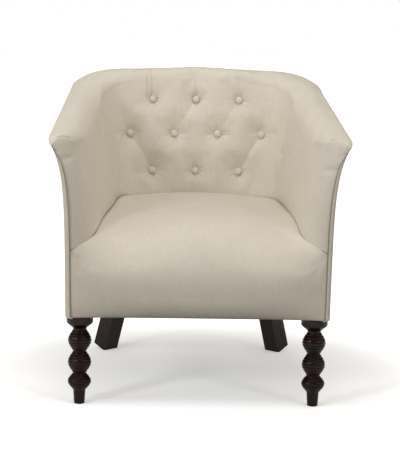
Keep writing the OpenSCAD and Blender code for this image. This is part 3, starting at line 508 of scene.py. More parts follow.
class ClothGrid:
    """A grid of points that one piece of cloth follows, in millimetres behind the front face."""

    def __init__(self, points: Array, outward: int = 1) -> None:
        """Keep the grid.

        Args:
            points: the grid, with two axes of points and one of coordinates.
            outward: 1 where the first axis crossed with the second points out of the padding, else -1.
        """
        self.points = points
        self.outward = outward

    def normals(self) -> Array:
        """Unit normals that point out of the padding.

        Returns:
            One normal for each point.
        """
        du = np.gradient(self.points, axis=0)
        dv = np.gradient(self.points, axis=1)
        n = np.cross(du, dv) * self.outward
        return n / np.maximum(np.linalg.norm(n, axis=-1, keepdims=True), 1e-9)

    def moved(self, lift: Array) -> "ClothGrid":
        """The grid with each point moved out along its normal by lift."""
        return ClothGrid(self.points + self.normals() * lift[..., None], self.outward)

    def relaxed(self, share: Array, along: int, times: int, sink: float) -> "ClothGrid":
        """The grid with some of its points drawn towards their neighbours.

        Args:
            share: how far each point gives way each time, from 0 to 1.
            along: 0 to draw along the first axis and 1 along the second.
            times: how often the points give way.
            sink: how far a point may move into the padding at most, in millimetres.

        Returns:
            The new grid.
        """
        points = np.moveaxis(self.points.copy(), along, 0)
        pull = np.moveaxis(np.broadcast_to(share, self.points.shape[:2]), along, 0)[1:-1, :, None]
        for _ in range(times):
            points[1:-1] += pull * ((points[:-2] + points[2:]) / 2 - points[1:-1])
        move = np.moveaxis(points, 0, along) - self.points
        n = self.normals()
        deep = np.minimum(0, (move * n).sum(axis=-1) + sink)
        return ClothGrid(self.points + move - deep[..., None] * n, self.outward)

    def part(self, first: int, last: int) -> "ClothGrid":
        """The columns from first to last, both included."""
        return ClothGrid(self.points[first:last + 1], self.outward)

    def laid_flat(self) -> Array:
        """Places of the points on the flat cloth, in millimetres along both axes.

        Returns:
            The places, with 0 as their third coordinate.
        """
        along = np.linalg.norm(np.diff(self.points, axis=0), axis=-1)
        across = np.linalg.norm(np.diff(self.points, axis=1), axis=-1)
        s = np.concatenate([np.zeros((1, along.shape[1])), np.cumsum(along, axis=0)])
        t = np.concatenate([np.zeros((across.shape[0], 1)), np.cumsum(across, axis=1)], axis=1)
        middle = self.points.shape[0] // 2
        return np.stack([s - s[middle], t, np.zeros_like(s)], -1)

    def cut_size(self) -> tuple[float, float]:
        """Width and length of the flat cloth in metres."""
        flat = self.laid_flat()
        return (float(np.ptp(flat[..., 0])) * MM, float(np.ptp(flat[..., 1])) * MM)


class MeshBook:
    """Turns arrays of points into Blender objects in the part's frame."""

    def __init__(self, shape: TubShape) -> None:
        """Keep the shape whose frame is used."""
        self.shape = shape

    def raw(self, name: str, points: Array, faces: list, place: Array | None = None) -> bpy.types.Object:
        """Make a smooth-shaded mesh object.

        Args:
            name: the piece's name.
            points: its vertices in millimetres.
            faces: lists of vertex numbers.
            place: each vertex's place on the flat cloth, in millimetres.

        Returns:
            The new object, linked to the scene.
        """
        mesh = bpy.data.meshes.new(name)
        mesh.from_pydata(self.shape.placed(points.reshape(-1, 3)).tolist(), [], faces)
        mesh.validate()
        mesh.shade_smooth()
        if place is not None:
            store = mesh.attributes.new(CLOTH_PLACE, "FLOAT_VECTOR", "POINT")
            store.data.foreach_set("vector", (place.reshape(-1, 3) * MM).astype(np.float32).ravel())
        piece = bpy.data.objects.new(name, mesh)
        bpy.context.scene.collection.objects.link(piece)
        return piece

    def slab(self, name: str, grid: ClothGrid, thickness: float) -> bpy.types.Object:
        """Make a closed layer of cloth whose face is the grid.

        Args:
            name: the piece's name.
            grid: the outer face.
            thickness: how far the layer reaches into the padding, in millimetres.

        Returns:
            The new object.
        """
        n, m = grid.points.shape[:2]
        inner = grid.points - grid.normals() * thickness
        points = np.concatenate([grid.points.reshape(-1, 3), inner.reshape(-1, 3)])
        flat = grid.laid_flat().reshape(-1, 3)
        count = n * m
        front = grid_faces(n, m)
        back = front[:, ::-1] + count
        rims = []
        for j0, flip in ((0, False), (m - 1, True)):
            e = np.arange(n - 1) * m + j0
            rim = np.stack([e, e + count, e + m + count, e + m], 1)
            rims.append(rim[:, ::-1] if flip else rim)
        for i0, flip in ((0, True), (n - 1, False)):
            e = i0 * m + np.arange(m - 1)
            rim = np.stack([e, e + count, e + 1 + count, e + 1], 1)
            rims.append(rim[:, ::-1] if flip else rim)
        faces = np.concatenate([front, back, *rims])
        if grid.outward < 0:
            faces = faces[:, ::-1]
        piece = self.raw(name, points, faces.tolist(), np.concatenate([flat, flat]))
        piece.data.set_sharp_from_angle(angle=math.radians(50))
        return piece

    def revolved(self, profile: Array, sides: int) -> tuple[Array, list]:
        """Points and faces of a profile turned about the Z axis.

        Args:
            profile: pairs of radius and height, from one end of the axis to the other.
            sides: number of points round the axis.

        Returns:
            The points in millimetres and the faces.
        """
        angle = np.arange(sides) * 2 * np.pi / sides
        r, z = profile[:, 0][:, None], profile[:, 1][:, None]
        points = np.stack(np.broadcast_arrays(r * np.cos(angle), r * np.sin(angle), z), -1).reshape(-1, 3)
        return points, tube_faces(len(profile), sides)


class Value:
    """One number or colour that flows through a shader, for use in expressions."""

    def __init__(self, shader: "Shader", socket: bpy.types.NodeSocket) -> None:
        """Keep the socket and the shader that it belongs to."""
        self.shader = shader
        self.socket = socket

    def _math(self, operation: str, *others: "Value | float") -> "Value":
        """Add a Math node of one operation."""
        inputs = {i: v for i, v in enumerate((self, *others))}
        return self.shader.add("ShaderNodeMath", {"operation": operation}, inputs)

    def __add__(self, other: "Value | float") -> "Value":
        """Sum."""
        return self._math("ADD", other)

    __radd__ = __add__

    def __sub__(self, other: "Value | float") -> "Value":
        """Difference."""
        return self._math("SUBTRACT", other)

    def __rsub__(self, other: float) -> "Value":
        """Difference from a number."""
        return self._math("MULTIPLY_ADD", -1.0, other)

    def __mul__(self, other: "Value | float") -> "Value":
        """Product."""
        return self._math("MULTIPLY", other)

    __rmul__ = __mul__

    def sine(self) -> "Value":
        """Sine of an angle in radians."""
        return self._math("SINE")

    def larger(self, other: "Value | float") -> "Value":
        """The larger of two values."""
        return self._math("MAXIMUM", other)

    def step(self, low: float, high: float) -> "Value":
        """Smooth step between two levels, from 0 to 1."""
        settings = {"interpolation_type": "SMOOTHSTEP"}
        inputs = {"Value": self, "From Min": low, "From Max": high, "To Min": 0.0, "To Max": 1.0}
        return self.shader.add("ShaderNodeMapRange", settings, inputs)


class Shader:
    """The nodes of one material, under construction."""

    output_kind: str = "ShaderNodeOutputMaterial"

    def __init__(self, name: str) -> None:
        """Start an empty node tree with an output.

        Args:
            name: the name of what owns the nodes.
        """
        self.owner = self._started(name)
        self.owner.use_nodes = True
        self.tree = self.owner.node_tree
        self.tree.nodes.clear()
        self.output = self.tree.nodes.new(self.output_kind)

    def _started(self, name: str) -> bpy.types.ID:
        """Make the material that owns the nodes."""
        return bpy.data.materials.new(name)

    def add(self, kind: str, settings: dict | None = None, inputs: dict | None = None,
            out: str | int = 0) -> Value:
        """Add one node.

        Args:
            kind: the node's type.
            settings: its properties, set first; a ramp's stops are given as "stops".
            inputs: values or links by socket name or number.
            out: the output that is wanted.

        Returns:
            The wanted output.
        """
        node = self.tree.nodes.new(kind)
        for key, value in (settings or {}).items():
            if key == "stops":
                self._set_stops(node.color_ramp, value)
            else:
                setattr(node, key, value)
        for key, value in (inputs or {}).items():
            self.feed(node.inputs[key], value)
        return Value(self, node.outputs[out])

    def _set_stops(self, ramp: bpy.types.ColorRamp, stops: list[tuple[float, Colour]]) -> None:
        """Give a colour ramp its stops.

        Args:
            ramp: the ramp.
            stops: places from 0 to 1, each with its colour.
        """
        for index, (place, colour) in enumerate(stops):
            element = ramp.elements[index] if index < 2 else ramp.elements.new(place)
            element.position = place
            element.color = (*colour, 1.0)

    def feed(self, socket: bpy.types.NodeSocket, value: "Value | float | tuple") -> None:
        """Link a value to a socket, or set the socket's own value.

        Args:
            socket: the input.
            value: a link, a number or a colour.
        """
        if isinstance(value, Value):
            self.tree.links.new(value.socket, socket)
        elif socket.type == "RGBA" and len(value) == 3:
            socket.default_value = (*value, 1.0)
        else:
            socket.default_value = value

    def place(self, attribute: str | None = None) -> Value:
        """Coordinates in metres: on the flat cloth, or in the part's frame."""
        if attribute:
            return self.add("ShaderNodeAttribute", {"attribute_name": attribute}, out="Vector")
        return self.add("ShaderNodeTexCoord", out="Object")

    def stretched(self, place: Value, scale: Triple) -> Value:
        """Coordinates with each axis scaled."""
        return self.add("ShaderNodeVectorMath", {"operation": "MULTIPLY"}, {0: place, 1: scale})

    def shifted(self, place: Value, push: Value, amount: float) -> Value:
        """Coordinates pushed about by a noise colour."""
        inputs = {0: push, 1: (amount, amount, amount), 2: place}
        return self.add("ShaderNodeVectorMath", {"operation": "MULTIPLY_ADD"}, inputs)

    def axes(self, place: Value) -> tuple[Value, Value, Value]:
        """The three components of coordinates."""
        first = self.add("ShaderNodeSeparateXYZ", None, {0: place})
        return tuple(Value(self, output) for output in first.socket.node.outputs)

    def noise(self, place: Value, scale: float, detail: float = 3.0, rough: float = 0.5,
              out: str = "Fac") -> Value:
        """Noise at a scale in cycles for each metre."""
        inputs = {"Vector": place, "Scale": scale, "Detail": detail, "Roughness": rough}
        return self.add("ShaderNodeTexNoise", None, inputs, out)

    def mix(self, share: Value | float, first: Value | Colour, second: Value | Colour) -> Value:
        """Mix two colours.

        Args:
            share: how much of the second one.
            first: one colour.
            second: the other.

        Returns:
            The mixed colour.
        """
        inputs = {"Factor": share, MIX_FIRST: first, MIX_SECOND: second}
        return self.add("ShaderNodeMix", {"data_type": "RGBA"}, inputs, MIX_RESULT)

    def bump(self, height: Value, distance: float, strength: float = 1.0) -> Value:
        """Surface relief from a height between 0 and 1, in metres."""
        inputs = {"Height": height, "Distance": distance, "Strength": strength}
        return self.add("ShaderNodeBump", None, inputs)

    def finish(self, inputs: dict) -> bpy.types.Material:
        """Close the material with one Principled shader.

        Args:
            inputs: values or links for the shader's sockets.

        Returns:
            The finished material.
        """
        return self.close(self.add("ShaderNodeBsdfPrincipled", None, inputs))

    def close(self, surface: Value) -> bpy.types.ID:
        """Link a shader to the output and hand over what owns the nodes."""
        self.tree.links.new(surface.socket, self.output.inputs["Surface"])
        return self.owner


class WorldShader(Shader):
    """The nodes of the world's light, under construction."""

    output_kind: str = "ShaderNodeOutputWorld"

    def _started(self, name: str) -> bpy.types.ID:
        """Make the world that owns the nodes."""
        return bpy.data.worlds.new(name)


@dataclass(frozen=True)
class Linen:
    """Oatmeal linen in a plain weave, with thicker yarns here and there."""

    name: str = "oatmeal_linen"
    yarn: Colour = (0.735, 0.685, 0.60)
    thick_yarn: Colour = (0.79, 0.745, 0.665)
    gap: Colour = (0.56, 0.495, 0.40)
    pitch: float = 0.0011
    relief: float = 0.00028
    roughness: float = 0.93

    def _slubs(self, shader: Shader, place: Value, scale: Triple) -> Value:
        """Long thin streaks of thicker yarn along one axis."""
        streak = shader.noise(shader.stretched(place, scale), 1.0, 2.0, 0.55)
        return streak.step(0.5, 0.74)

    def material(self) -> bpy.types.Material:
        """Build the finish.

        Returns:
            The material.
        """
        shader = Shader(self.name)
        place = shader.place(CLOTH_PLACE)
        wander = shader.noise(place, 55.0, 2.0, out="Color")
        loose = shader.shifted(place, wander, self.pitch * 0.9)
        x, y, _ = shader.axes(loose)
        turn = math.pi / self.pitch
        warp, weft = (x * turn).sine(), (y * turn).sine()
        over = (warp * weft).step(-0.5, 0.5)
        yarns = over * (warp * warp) + (1 - over) * (weft * weft)
        across = self._slubs(shader, place, (70.0, 900.0, 1.0))
        upright = self._slubs(shader, place, (900.0, 55.0, 1.0))
        thick = across.larger(upright * 0.8)
        patch = shader.noise(place, 9.0, 4.0, 0.6).step(0.3, 0.72)
        tone = shader.mix(thick, self.yarn, self.thick_yarn)
        worn = shader.mix(patch * 0.22, tone, self.gap)
        lengthways = shader.noise(shader.stretched(place, (300.0, 26.0, 1.0)), 1.0, 2.0, 0.6)
        crossways = shader.noise(shader.stretched(place, (22.0, 300.0, 1.0)), 1.0, 2.0, 0.6)
        uneven = (lengthways * 0.5 + crossways * 0.5).step(0.4, 0.62)
        streaked = shader.mix(uneven * 0.24, worn, self.gap)
        colour = shader.mix((1 - yarns) * 0.36, streaked, self.gap)
        height = yarns * 0.5 + thick * 0.3 + uneven * 0.2
        return shader.finish({
            "Base Color": colour,
            "Roughness": self.roughness,
            "Normal": shader.bump(height, self.relief, 0.9),
            "Specular IOR Level": 0.25,
            "Sheen Weight": 0.12,
            "Sheen Roughness": 0.45,
            "Sheen Tint": (1.0, 0.96, 0.88, 1.0),
        })


@dataclass(frozen=True)
class StainedWood:
    """Close-grained hardwood under an espresso stain and satin lacquer."""

    name: str = "espresso_stained_wood"
    deep: Colour = (0.0045, 0.0018, 0.0014)
    warm: Colour = (0.024, 0.0066, 0.0048)
    grain: Triple = (240.0, 240.0, 14.0)
    roughness: float = 0.3

    def material(self) -> bpy.types.Material:
        """Build the finish.

        Returns:
            The material.
        """
        shader = Shader(self.name)
        place = shader.place()
        bend = shader.noise(place, 18.0, 2.0, out="Color")
        loose = shader.shifted(place, bend, 0.012)
        fibre = shader.noise(shader.stretched(loose, self.grain), 1.0, 5.0, 0.62)
        pores = shader.noise(shader.stretched(loose, (900.0, 900.0, 45.0)), 1.0, 2.0).step(0.62, 0.75)
        cloud = shader.noise(place, 24.0, 3.0, 0.55)
        colour = shader.mix((fibre * 0.7 + cloud * 0.45).step(0.35, 0.8), self.deep, self.warm)
        height = fibre * 0.5 + (1 - pores) * 0.5
        return shader.finish({
            "Base Color": colour,
            "Roughness": cloud * 0.16 + self.roughness - 0.06 + pores * 0.2,
            "Normal": shader.bump(height, 0.0002, 0.35),
            "Specular IOR Level": 0.05,
            "Coat Weight": 0.22,
            "Coat Roughness": 0.1,
        })


@dataclass(frozen=True)
class SawnWood:
    """Planed beech for the hidden frame, with its grain along one axis."""

    name: str = "frame_beech"
    pale: Colour = (0.62, 0.43, 0.255)
    dark: Colour = (0.43, 0.265, 0.14)
    grain: Triple = (6.0, 90.0, 90.0)

    def material(self) -> bpy.types.Material:
        """Build the finish.

        Returns:
            The material.
        """
        shader = Shader(self.name)
        place = shader.place()
        bend = shader.noise(place, 7.0, 2.0, out="Color")
        loose = shader.shifted(place, bend, 0.02)
        fibre = shader.noise(shader.stretched(loose, self.grain), 1.0, 6.0, 0.65)
        flecks = shader.noise(shader.stretched(loose, tuple(6 * g for g in self.grain)), 1.0, 2.0)
        colour = shader.mix(fibre.step(0.35, 0.7), self.pale, self.dark)
        flecked = shader.mix(flecks.step(0.62, 0.72) * 0.5, colour, self.dark)
        return shader.finish({
            "Base Color": flecked,
            "Roughness": 0.5 + fibre * 0.25,
            "Normal": shader.bump(fibre, 0.0004, 0.6),
        })


@dataclass(frozen=True)
class Foam:
    """Open-cell foam, yellowed a little."""

    name: str = "seat_foam_cream"
    pale: Colour = (0.80, 0.70, 0.43)
    cell: Colour = (0.52, 0.41, 0.20)

    def material(self) -> bpy.types.Material:
        """Build the finish.

        Returns:
            The material.
        """
        shader = Shader(self.name)
        place = shader.place()
        cells = shader.add("ShaderNodeTexVoronoi", None, {"Vector": place, "Scale": 620.0}, "Distance")
        tone = shader.noise(place, 12.0, 3.0)
        colour = shader.mix((cells * 0.7 + tone * 0.4).step(0.25, 0.85), self.cell, self.pale)
        return shader.finish({
            "Base Color": colour,
            "Roughness": 0.95,
            "Normal": shader.bump(cells, 0.0008, 0.8),
        })


@dataclass(frozen=True)
class CoarseCloth:
    """A plain coarse cloth in one weave, such as hessian, webbing or dust cloth."""

    name: str
    yarn: Colour
    gap: Colour
    pitch: float
    relief: float
    hairs: float = 0.3
    stripe: float = 0.0

    def material(self) -> bpy.types.Material:
        """Build the finish.

        Returns:
            The material.
        """
        shader = Shader(self.name)
        place = shader.place()
        wander = shader.noise(place, 60.0, 2.0, out="Color")
        x, y, z = shader.axes(shader.shifted(place, wander, self.pitch * 0.6))
        turn = math.pi / self.pitch
        first = ((x + y * 0.35) * turn).sine()
        second = ((z + y * 0.94) * turn).sine()
        yarns = (first * first).larger(second * second)
        fuzz = shader.noise(shader.stretched(place, (500.0, 500.0, 160.0)), 1.0, 4.0, 0.7)
        tone = shader.mix(fuzz.step(0.3, 0.75) * self.hairs, self.yarn, self.gap)
        lines = (x * (math.pi / (12 * self.pitch))).sine().step(0.75, 0.9) * self.stripe
        striped = shader.mix(lines, tone, self.gap)
        colour = shader.mix((1 - yarns) * 0.8, striped, self.gap)
        return shader.finish({
            "Base Color": colour,
            "Roughness": 0.95,
            "Normal": shader.bump(yarns * 0.8 + fuzz * 0.2, self.relief, 0.9),
        })


@dataclass(frozen=True)
class Metal:
    """Bright zinc or drawn wire, a little clouded."""

    name: str
    tone: Colour = (0.60, 0.61, 0.60)
    tarnish: Colour = (0.33, 0.34, 0.34)
    roughness: float = 0.36

    def material(self) -> bpy.types.Material:
        """Build the finish.

        Returns:
            The material.
        """
        shader = Shader(self.name)
        place = shader.place()
        cloud = shader.noise(place, 130.0, 4.0, 0.6)
        drawn = shader.noise(shader.stretched(place, (90.0, 900.0, 900.0)), 1.0, 2.0)
        return shader.finish({
            "Base Color": shader.mix(cloud.step(0.35, 0.7), self.tone, self.tarnish),
            "Metallic": 1.0,
            "Roughness": self.roughness - 0.1 + cloud * 0.25,
            "Normal": shader.bump(drawn, 0.0001, 0.4),
        })


@dataclass(frozen=True)
class Plastic:
    """Moulded plastic with a fine dull texture."""

    name: str = "washer_nylon"
    tone: Colour = (0.62, 0.55, 0.42)
    shade: Colour = (0.50, 0.43, 0.31)

    def material(self) -> bpy.types.Material:
        """Build the finish.

        Returns:
            The material.
        """
        shader = Shader(self.name)
        grain = shader.noise(shader.place(), 1500.0, 3.0)
        return shader.finish({
            "Base Color": shader.mix(grain, self.tone, self.shade),
            "Roughness": 0.45 + grain * 0.2,
            "Normal": shader.bump(grain, 0.00008, 0.5),
        })


@dataclass(frozen=True)
class StudioFloor:
    """The seamless floor: white to the camera, and still able to take the chair's shadow."""

    name: str = "studio_floor"
    tone: Colour = (0.98, 0.98, 0.98)
    bounce: Colour = (0.12, 0.118, 0.11)
    lift: float = 0.36
    near: float = 0.45
    far: float = 0.95

    def material(self) -> bpy.types.Material:
        """Build the finish.

        Returns:
            The material.
        """
        shader = Shader(self.name)
        seen = shader.add("ShaderNodeLightPath", out="Is Camera Ray")
        shine = shader.add("ShaderNodeLightPath", out="Is Glossy Ray")
        shown = seen.larger(shine)
        place = shader.place()
        pale = shader.noise(place, 3.0, 2.0)
        base = shader.mix(pale, self.tone, tuple(c * 0.985 for c in self.tone))
        tone = shader.mix(shown, self.bounce, base)
        matt = shader.add("ShaderNodeBsdfDiffuse", None, {"Color": tone})
        away = shader.add("ShaderNodeVectorMath", {"operation": "LENGTH"}, {0: place}, "Value")
        level = away.step(self.near, self.far) * (1 - self.lift) + self.lift
        glow = shader.add("ShaderNodeEmission", None, {"Color": (1.0, 1.0, 1.0), "Strength": shown * level})
        return shader.close(shader.add("ShaderNodeAddShader", None, {0: matt, 1: glow}))


class Piece:
    """What every finished piece of the chair needs."""

    def settle(self, piece: bpy.types.Object, finish: bpy.types.Material, slot: Slot,
               *nodes: str) -> bpy.types.Object:
        """Give a piece its finish and its place in the chair.

        Args:
            piece: the finished mesh object.
            finish: its material.
            slot: the record's slot that it takes its finish from; not used.
            nodes: CAD nodes that it stands for.

        Returns:
            The same piece.
        """
        piece.data.materials.clear()
        piece.data.materials.append(finish)
        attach(piece, ROOT)
        if nodes:
            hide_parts(*nodes)
        LOG.info("made %s with %d points", piece.name, len(piece.data.vertices))
        return piece

    def opened_copy(self, source: bpy.types.Object, name: str) -> tuple[bpy.types.Object, bmesh.types.BMesh]:
        """Copy a CAD node and open the copy's mesh for editing, with its doubled points joined.

        Args:
            source: the CAD node's object.
            name: the copy's name.

        Returns:
            The copy, and its mesh opened for editing.
        """
        mesh = source.data.copy()
        mesh.name = name
        piece = bpy.data.objects.new(name, mesh)
        bpy.context.scene.collection.objects.link(piece)
        work = bmesh.new()
        work.from_mesh(mesh)
        bmesh.ops.remove_doubles(work, verts=work.verts, dist=SAME_POINT)
        return piece, work

    def split_edges(self, work: bmesh.types.BMesh, longest: float, rounds: int,
                    most: float = math.inf) -> None:
        """Halve the edges that are longer than wanted.

        Args:
            work: the mesh that is being edited.
            longest: length in metres up to which edges may stay.
            rounds: how often to halve them at most.
            most: number of points past which no more are added.
        """
        for _ in range(rounds):
            long = [e for e in work.edges if e.calc_length() > longest]
            if not long or len(work.verts) > most:
                break
            bmesh.ops.subdivide_edges(work, edges=long, cuts=1)
            bmesh.ops.triangulate(work, faces=work.faces)

    def closed(self, piece: bpy.types.Object, work: bmesh.types.BMesh) -> bpy.types.Mesh:
        """Write an edited mesh back to its piece, smooth-shaded.

        Args:
            piece: the piece.
            work: its mesh, opened for editing.

        Returns:
            The piece's mesh.
        """
        work.to_mesh(piece.data)
        work.free()
        piece.data.validate()
        piece.data.shade_smooth()
        return piece.data


@dataclass
class Tufting:
    """Buttons and the folds of cloth between them, in millimetres as seen from the front."""

    pitch: float = 114
    rows: tuple[float, ...] = (515, 612, 702)
    depth: float = 14
    pull: float = 9.5
    reach: float = 12
    dip: float = 3.0
    dip_reach: float = 42
    seat_r: float = 7.5
    row_counts: tuple[int, ...] = (3, 4, 3)
    fold_w: float = 5.0
    folds_between: tuple[tuple[Line, float], ...] = (
        ((171, 612, 114, 515), 3.4), ((-171, 612, -130, 543), 3.2), ((0, 702, -57, 612), 2.2),
        ((114, 702, 57, 612), 2.4), ((171, 612, 196, 700), 1.8), ((-114, 515, -171, 612), 0.9))
    valley_w: float = 17.0
    valley_depth: float = 1.1
    hollow_w: float = 20
    hollow_depth: float = 4.2
    hollows: tuple[Line, ...] = (
        (171, 612, 140, 680), (114, 515, 70, 580), (-114, 515, -84, 575), (-171, 612, -190, 560))
    pleat_w: float = 3.2
    pleat_end_z: float = 790
    pleats: tuple[tuple[float, float], ...] = (
        (-128, 3.6), (-117, 5.4), (0, 2.6), (6, 2.0), (114, 2.2), (120, 1.6))
    gather_w: float = 2.2
    gather_depth: float = 3.0
    gathers: tuple[tuple[float, int], ...] = ((57, 1), (57, -1), (-57, 1))
    gather_levels: tuple[float, float] = (-2.5, 4.0)
    fall_w: float = 4.5
    fall_depth: float = 1.3
    fall_end_z: float = 430
    pucker_depth: float = 3.8
    pucker_reach: float = 20
    pinch_r: float = 8.5
    pinches: tuple[Triple, ...] = (
        (-212, 612, 3.0), (209, 616, 3.4), (243, 570, 3.0), (262, 560, 1.8))

    def buttons(self) -> Array:
        """X and Z of each button.

        Returns:
            One pair for each button.
        """
        places = []
        for count, z in zip(self.row_counts, self.rows):
            places += [((i - (count - 1) / 2) * self.pitch, z) for i in range(count)]
        return np.array(places)

    def dimples(self, x: Array, z: Array) -> Array:
        """Depth of the dimples round the buttons."""
        near = np.min([np.hypot(x - bx, z - bz) for bx, bz in self.buttons()], axis=0)
        pulled = self.pull * np.exp(-np.maximum(near - self.seat_r, 0) / self.reach)
        return pulled + self.dip * np.exp(-((near / self.dip_reach) ** 2))

    def crease(self, x: Array, z: Array, line: Line, depth: float, width: float) -> Array:
        """Depth of one straight fold that dies out at its far end.

        Args:
            x: places across.
            z: heights.
            line: the fold's two ends.
            depth: its depth at the first end.
            width: its half width.

        Returns:
            The depth at each point.
        """
        s, t = beside(x, z, line)
        ends = smooth(t / 0.12 + 0.3) * smooth((1 - t) / 0.45)
        return depth * ends * np.exp(-np.abs(s) / width)

    def valley(self, x: Array, z: Array, line: Line, depth: float) -> Array:
        """Depth of a soft valley between two buttons.

        Args:
            x: places across.
            z: heights.
            line: the two buttons.
            depth: its greatest depth.

        Returns:
            The depth at each point.
        """
        s, t = beside(x, z, line)
        inside = smooth(t / 0.15) * smooth((1 - t) / 0.15)
        sag = 1 - 0.45 * np.sin(np.pi * np.clip(t, 0, 1))
        return depth * inside * sag * np.exp(-(s / self.valley_w) ** 2)

    def net(self) -> list[Line]:
        """Lines between neighbouring buttons of neighbouring rows.

        Returns:
            Each line's two ends.
        """
        places = self.buttons()
        lines = []
        for low in places:
            for high in places:
                if 0 < high[1] - low[1] < self.pitch and abs(high[0] - low[0]) < 0.6 * self.pitch:
                    lines.append((*low, *high))
        return lines

    def folds(self, x: Array, z: Array) -> Array:
        """Depth of the folds and puckers, apart from the dimples.

        Args:
            x: places across.
            z: heights.

        Returns:
            The depth at each point.
        """
        depth = np.zeros_like(x)
        for line in self.net():
            depth += self.valley(x, z, line, self.valley_depth)
        for line, size in self.folds_between:
            depth += self.crease(x, z, line, size, self.fold_w)
        for line in self.hollows:
            s, t = beside(x, z, line)
            along = self.hollow_depth * smooth(t / 0.2) * smooth((1.25 - t) / 1.0)
            depth += along * np.exp(-(s / self.hollow_w) ** 2)
        low_row, middle_row, top_row = self.rows
        for px, size in self.pleats:
            rise = smooth((z - top_row + 6) / 14) * smooth((self.pleat_end_z - z) / 30)
            depth += size * rise * np.exp(-np.abs(x - px) / self.pleat_w)
        for bx, side in self.gathers:
            for dz in self.gather_levels:
                run = side * (x - bx)
                along = smooth((run - 6) / 8) * smooth((44 - run) / 16)
                depth += self.gather_depth * along * np.exp(-np.abs(z - middle_row - dz) / self.gather_w)
        for bx in (-self.pitch, 0, self.pitch):
            fall = smooth((low_row - z) / 14) * smooth((z - self.fall_end_z) / 60)
            depth += self.fall_depth * fall * np.exp(-np.abs(x - bx - 2) / self.fall_w)
        return depth + self._puckers(x, z)

    def _puckers(self, x: Array, z: Array) -> Array:
        """Short gathers that run into each button.

        Args:
            x: places across.
            z: heights.

        Returns:
            The depth at each point.
        """
        depth = np.zeros_like(x)
        for number, (bx, bz) in enumerate(self.buttons()):
            dx, dz = x - bx, z - bz
            r = np.hypot(dx, dz)
            turn = np.arctan2(dz, dx)
            ripple = 0.5 + 0.5 * np.cos(9 * turn + 1.7 * number + 0.8 * np.sin(2 * turn))
            near = smooth((r - 7) / 5) * np.exp(-((r / self.pucker_reach) ** 2))
            depth += self.pucker_depth * ripple**2 * near
        for bx, bz, size in self.pinches:
            r = np.hypot(x - bx, z - bz)
            depth += size * np.exp(-((r / self.pinch_r) ** 2))
        return depth


@dataclass
class ClothRun:
    """A short cloth simulation that lets a layer settle over its padding, in millimetres."""

    pressure: float = 0.8
    slack: float = 0.008
    frames: int = 18
    hold: float = 0.04
    quality: int = 6
    mass: float = 0.25
    stretch_stiffness: float = 18
    shear_stiffness: float = 8
    bend_stiffness: float = 0.6
    pin_stiffness: float = 6

    def _faces(self, grid: ClothGrid) -> list:
        """Faces between the points of a grid, facing out of the padding."""
        faces = grid_faces(*grid.points.shape[:2])
        return faces.tolist() if grid.outward > 0 else faces[:, ::-1].tolist()

    def _group(self, cloth: bpy.types.Object, name: str, weights: Array) -> None:
        """Store one weight for each point of the cloth."""
        group = cloth.vertex_groups.new(name=name)
        for index, weight in enumerate(weights.ravel()):
            group.add([index], float(weight), "REPLACE")

    def lift(self, book: MeshBook, grid: ClothGrid, pins: Array, tight: Array) -> Array:
        """How far the cloth moves out of the padding at each point of a grid.

        Args:
            book: makes the mesh that is simulated.
            grid: the cloth before it settles.
            pins: how firmly each point is held, from 0 to 1.
            tight: how tightly the cloth is drawn at each point, from 0 with all its slack to 1.

        Returns:
            The movement along the grid's normals.
        """
        cloth = book.raw("cloth_run", grid.points, self._faces(grid))
        self._group(cloth, "held", np.clip(np.maximum(pins, self.hold), 0, 1))
        self._group(cloth, "tight", tight)
        modifier = cloth.modifiers.new("settle", "CLOTH")
        settings = modifier.settings
        settings.quality = self.quality
        settings.mass = self.mass
        settings.tension_stiffness = self.stretch_stiffness
        settings.compression_stiffness = self.stretch_stiffness
        settings.shear_stiffness = self.shear_stiffness
        settings.bending_stiffness = self.bend_stiffness
        settings.vertex_group_mass = "held"
        settings.pin_stiffness = self.pin_stiffness
        settings.use_pressure = True
        settings.uniform_pressure_force = self.pressure
        settings.vertex_group_shrink = "tight"
        settings.shrink_min = -self.slack
        settings.shrink_max = 0
        settings.effector_weights.gravity = 0
        modifier.collision_settings.use_collision = False
        modifier.point_cache.frame_end = self.frames
        scene = bpy.context.scene
        for frame in range(1, self.frames + 1):
            scene.frame_set(frame)
        settled = cloth.evaluated_get(bpy.context.evaluated_depsgraph_get())
        co = np.zeros(grid.points.size, np.float32)
        settled.data.vertices.foreach_get("co", co)
        rest = book.shape.placed(grid.points.reshape(-1, 3))
        move = ((co.reshape(-1, 3) - rest) / MM).reshape(grid.points.shape)
        bpy.data.objects.remove(cloth)
        scene.frame_set(1)
        return (move * grid.normals()).sum(axis=-1)


def held_within(lift: Array, inward: Array | float, outward: Array | float) -> Array:
    """Ease a movement off as it nears its limits inwards and outwards."""
    room = np.where(lift < 0, inward, outward)
    return room * np.tanh(lift / room)


def softened(values: Array) -> Array:
    """Average each value of a grid with its neighbours."""
    wide = np.pad(values, 1, mode="edge")
    across = (wide[:-2] + 2 * wide[1:-1] + wide[2:]) / 4
    return (across[:, :-2] + 2 * across[:, 1:-1] + across[:, 2:]) / 4


def finer(coarse: Array, columns: int, rows: int) -> Array:
    """Spread values on every second point of a grid over all of its points.

    Args:
        coarse: the values, on even columns and rows and on the last ones.
        columns: number of columns of the fine grid.
        rows: number of rows of the fine grid.

    Returns:
        Values for the whole fine grid.
    """
    at_u, at_v = every_second(columns), every_second(rows)
    wide = np.stack([np.interp(np.arange(columns), at_u, line) for line in coarse.T], -1)
    tall = np.stack([np.interp(np.arange(rows), at_v, line) for line in wide])
    return softened(tall)


def every_second(count: int) -> Array:
    """Numbers of every second point, and of the last one."""
    return np.append(np.arange(0, count - 1, 2), count - 1)


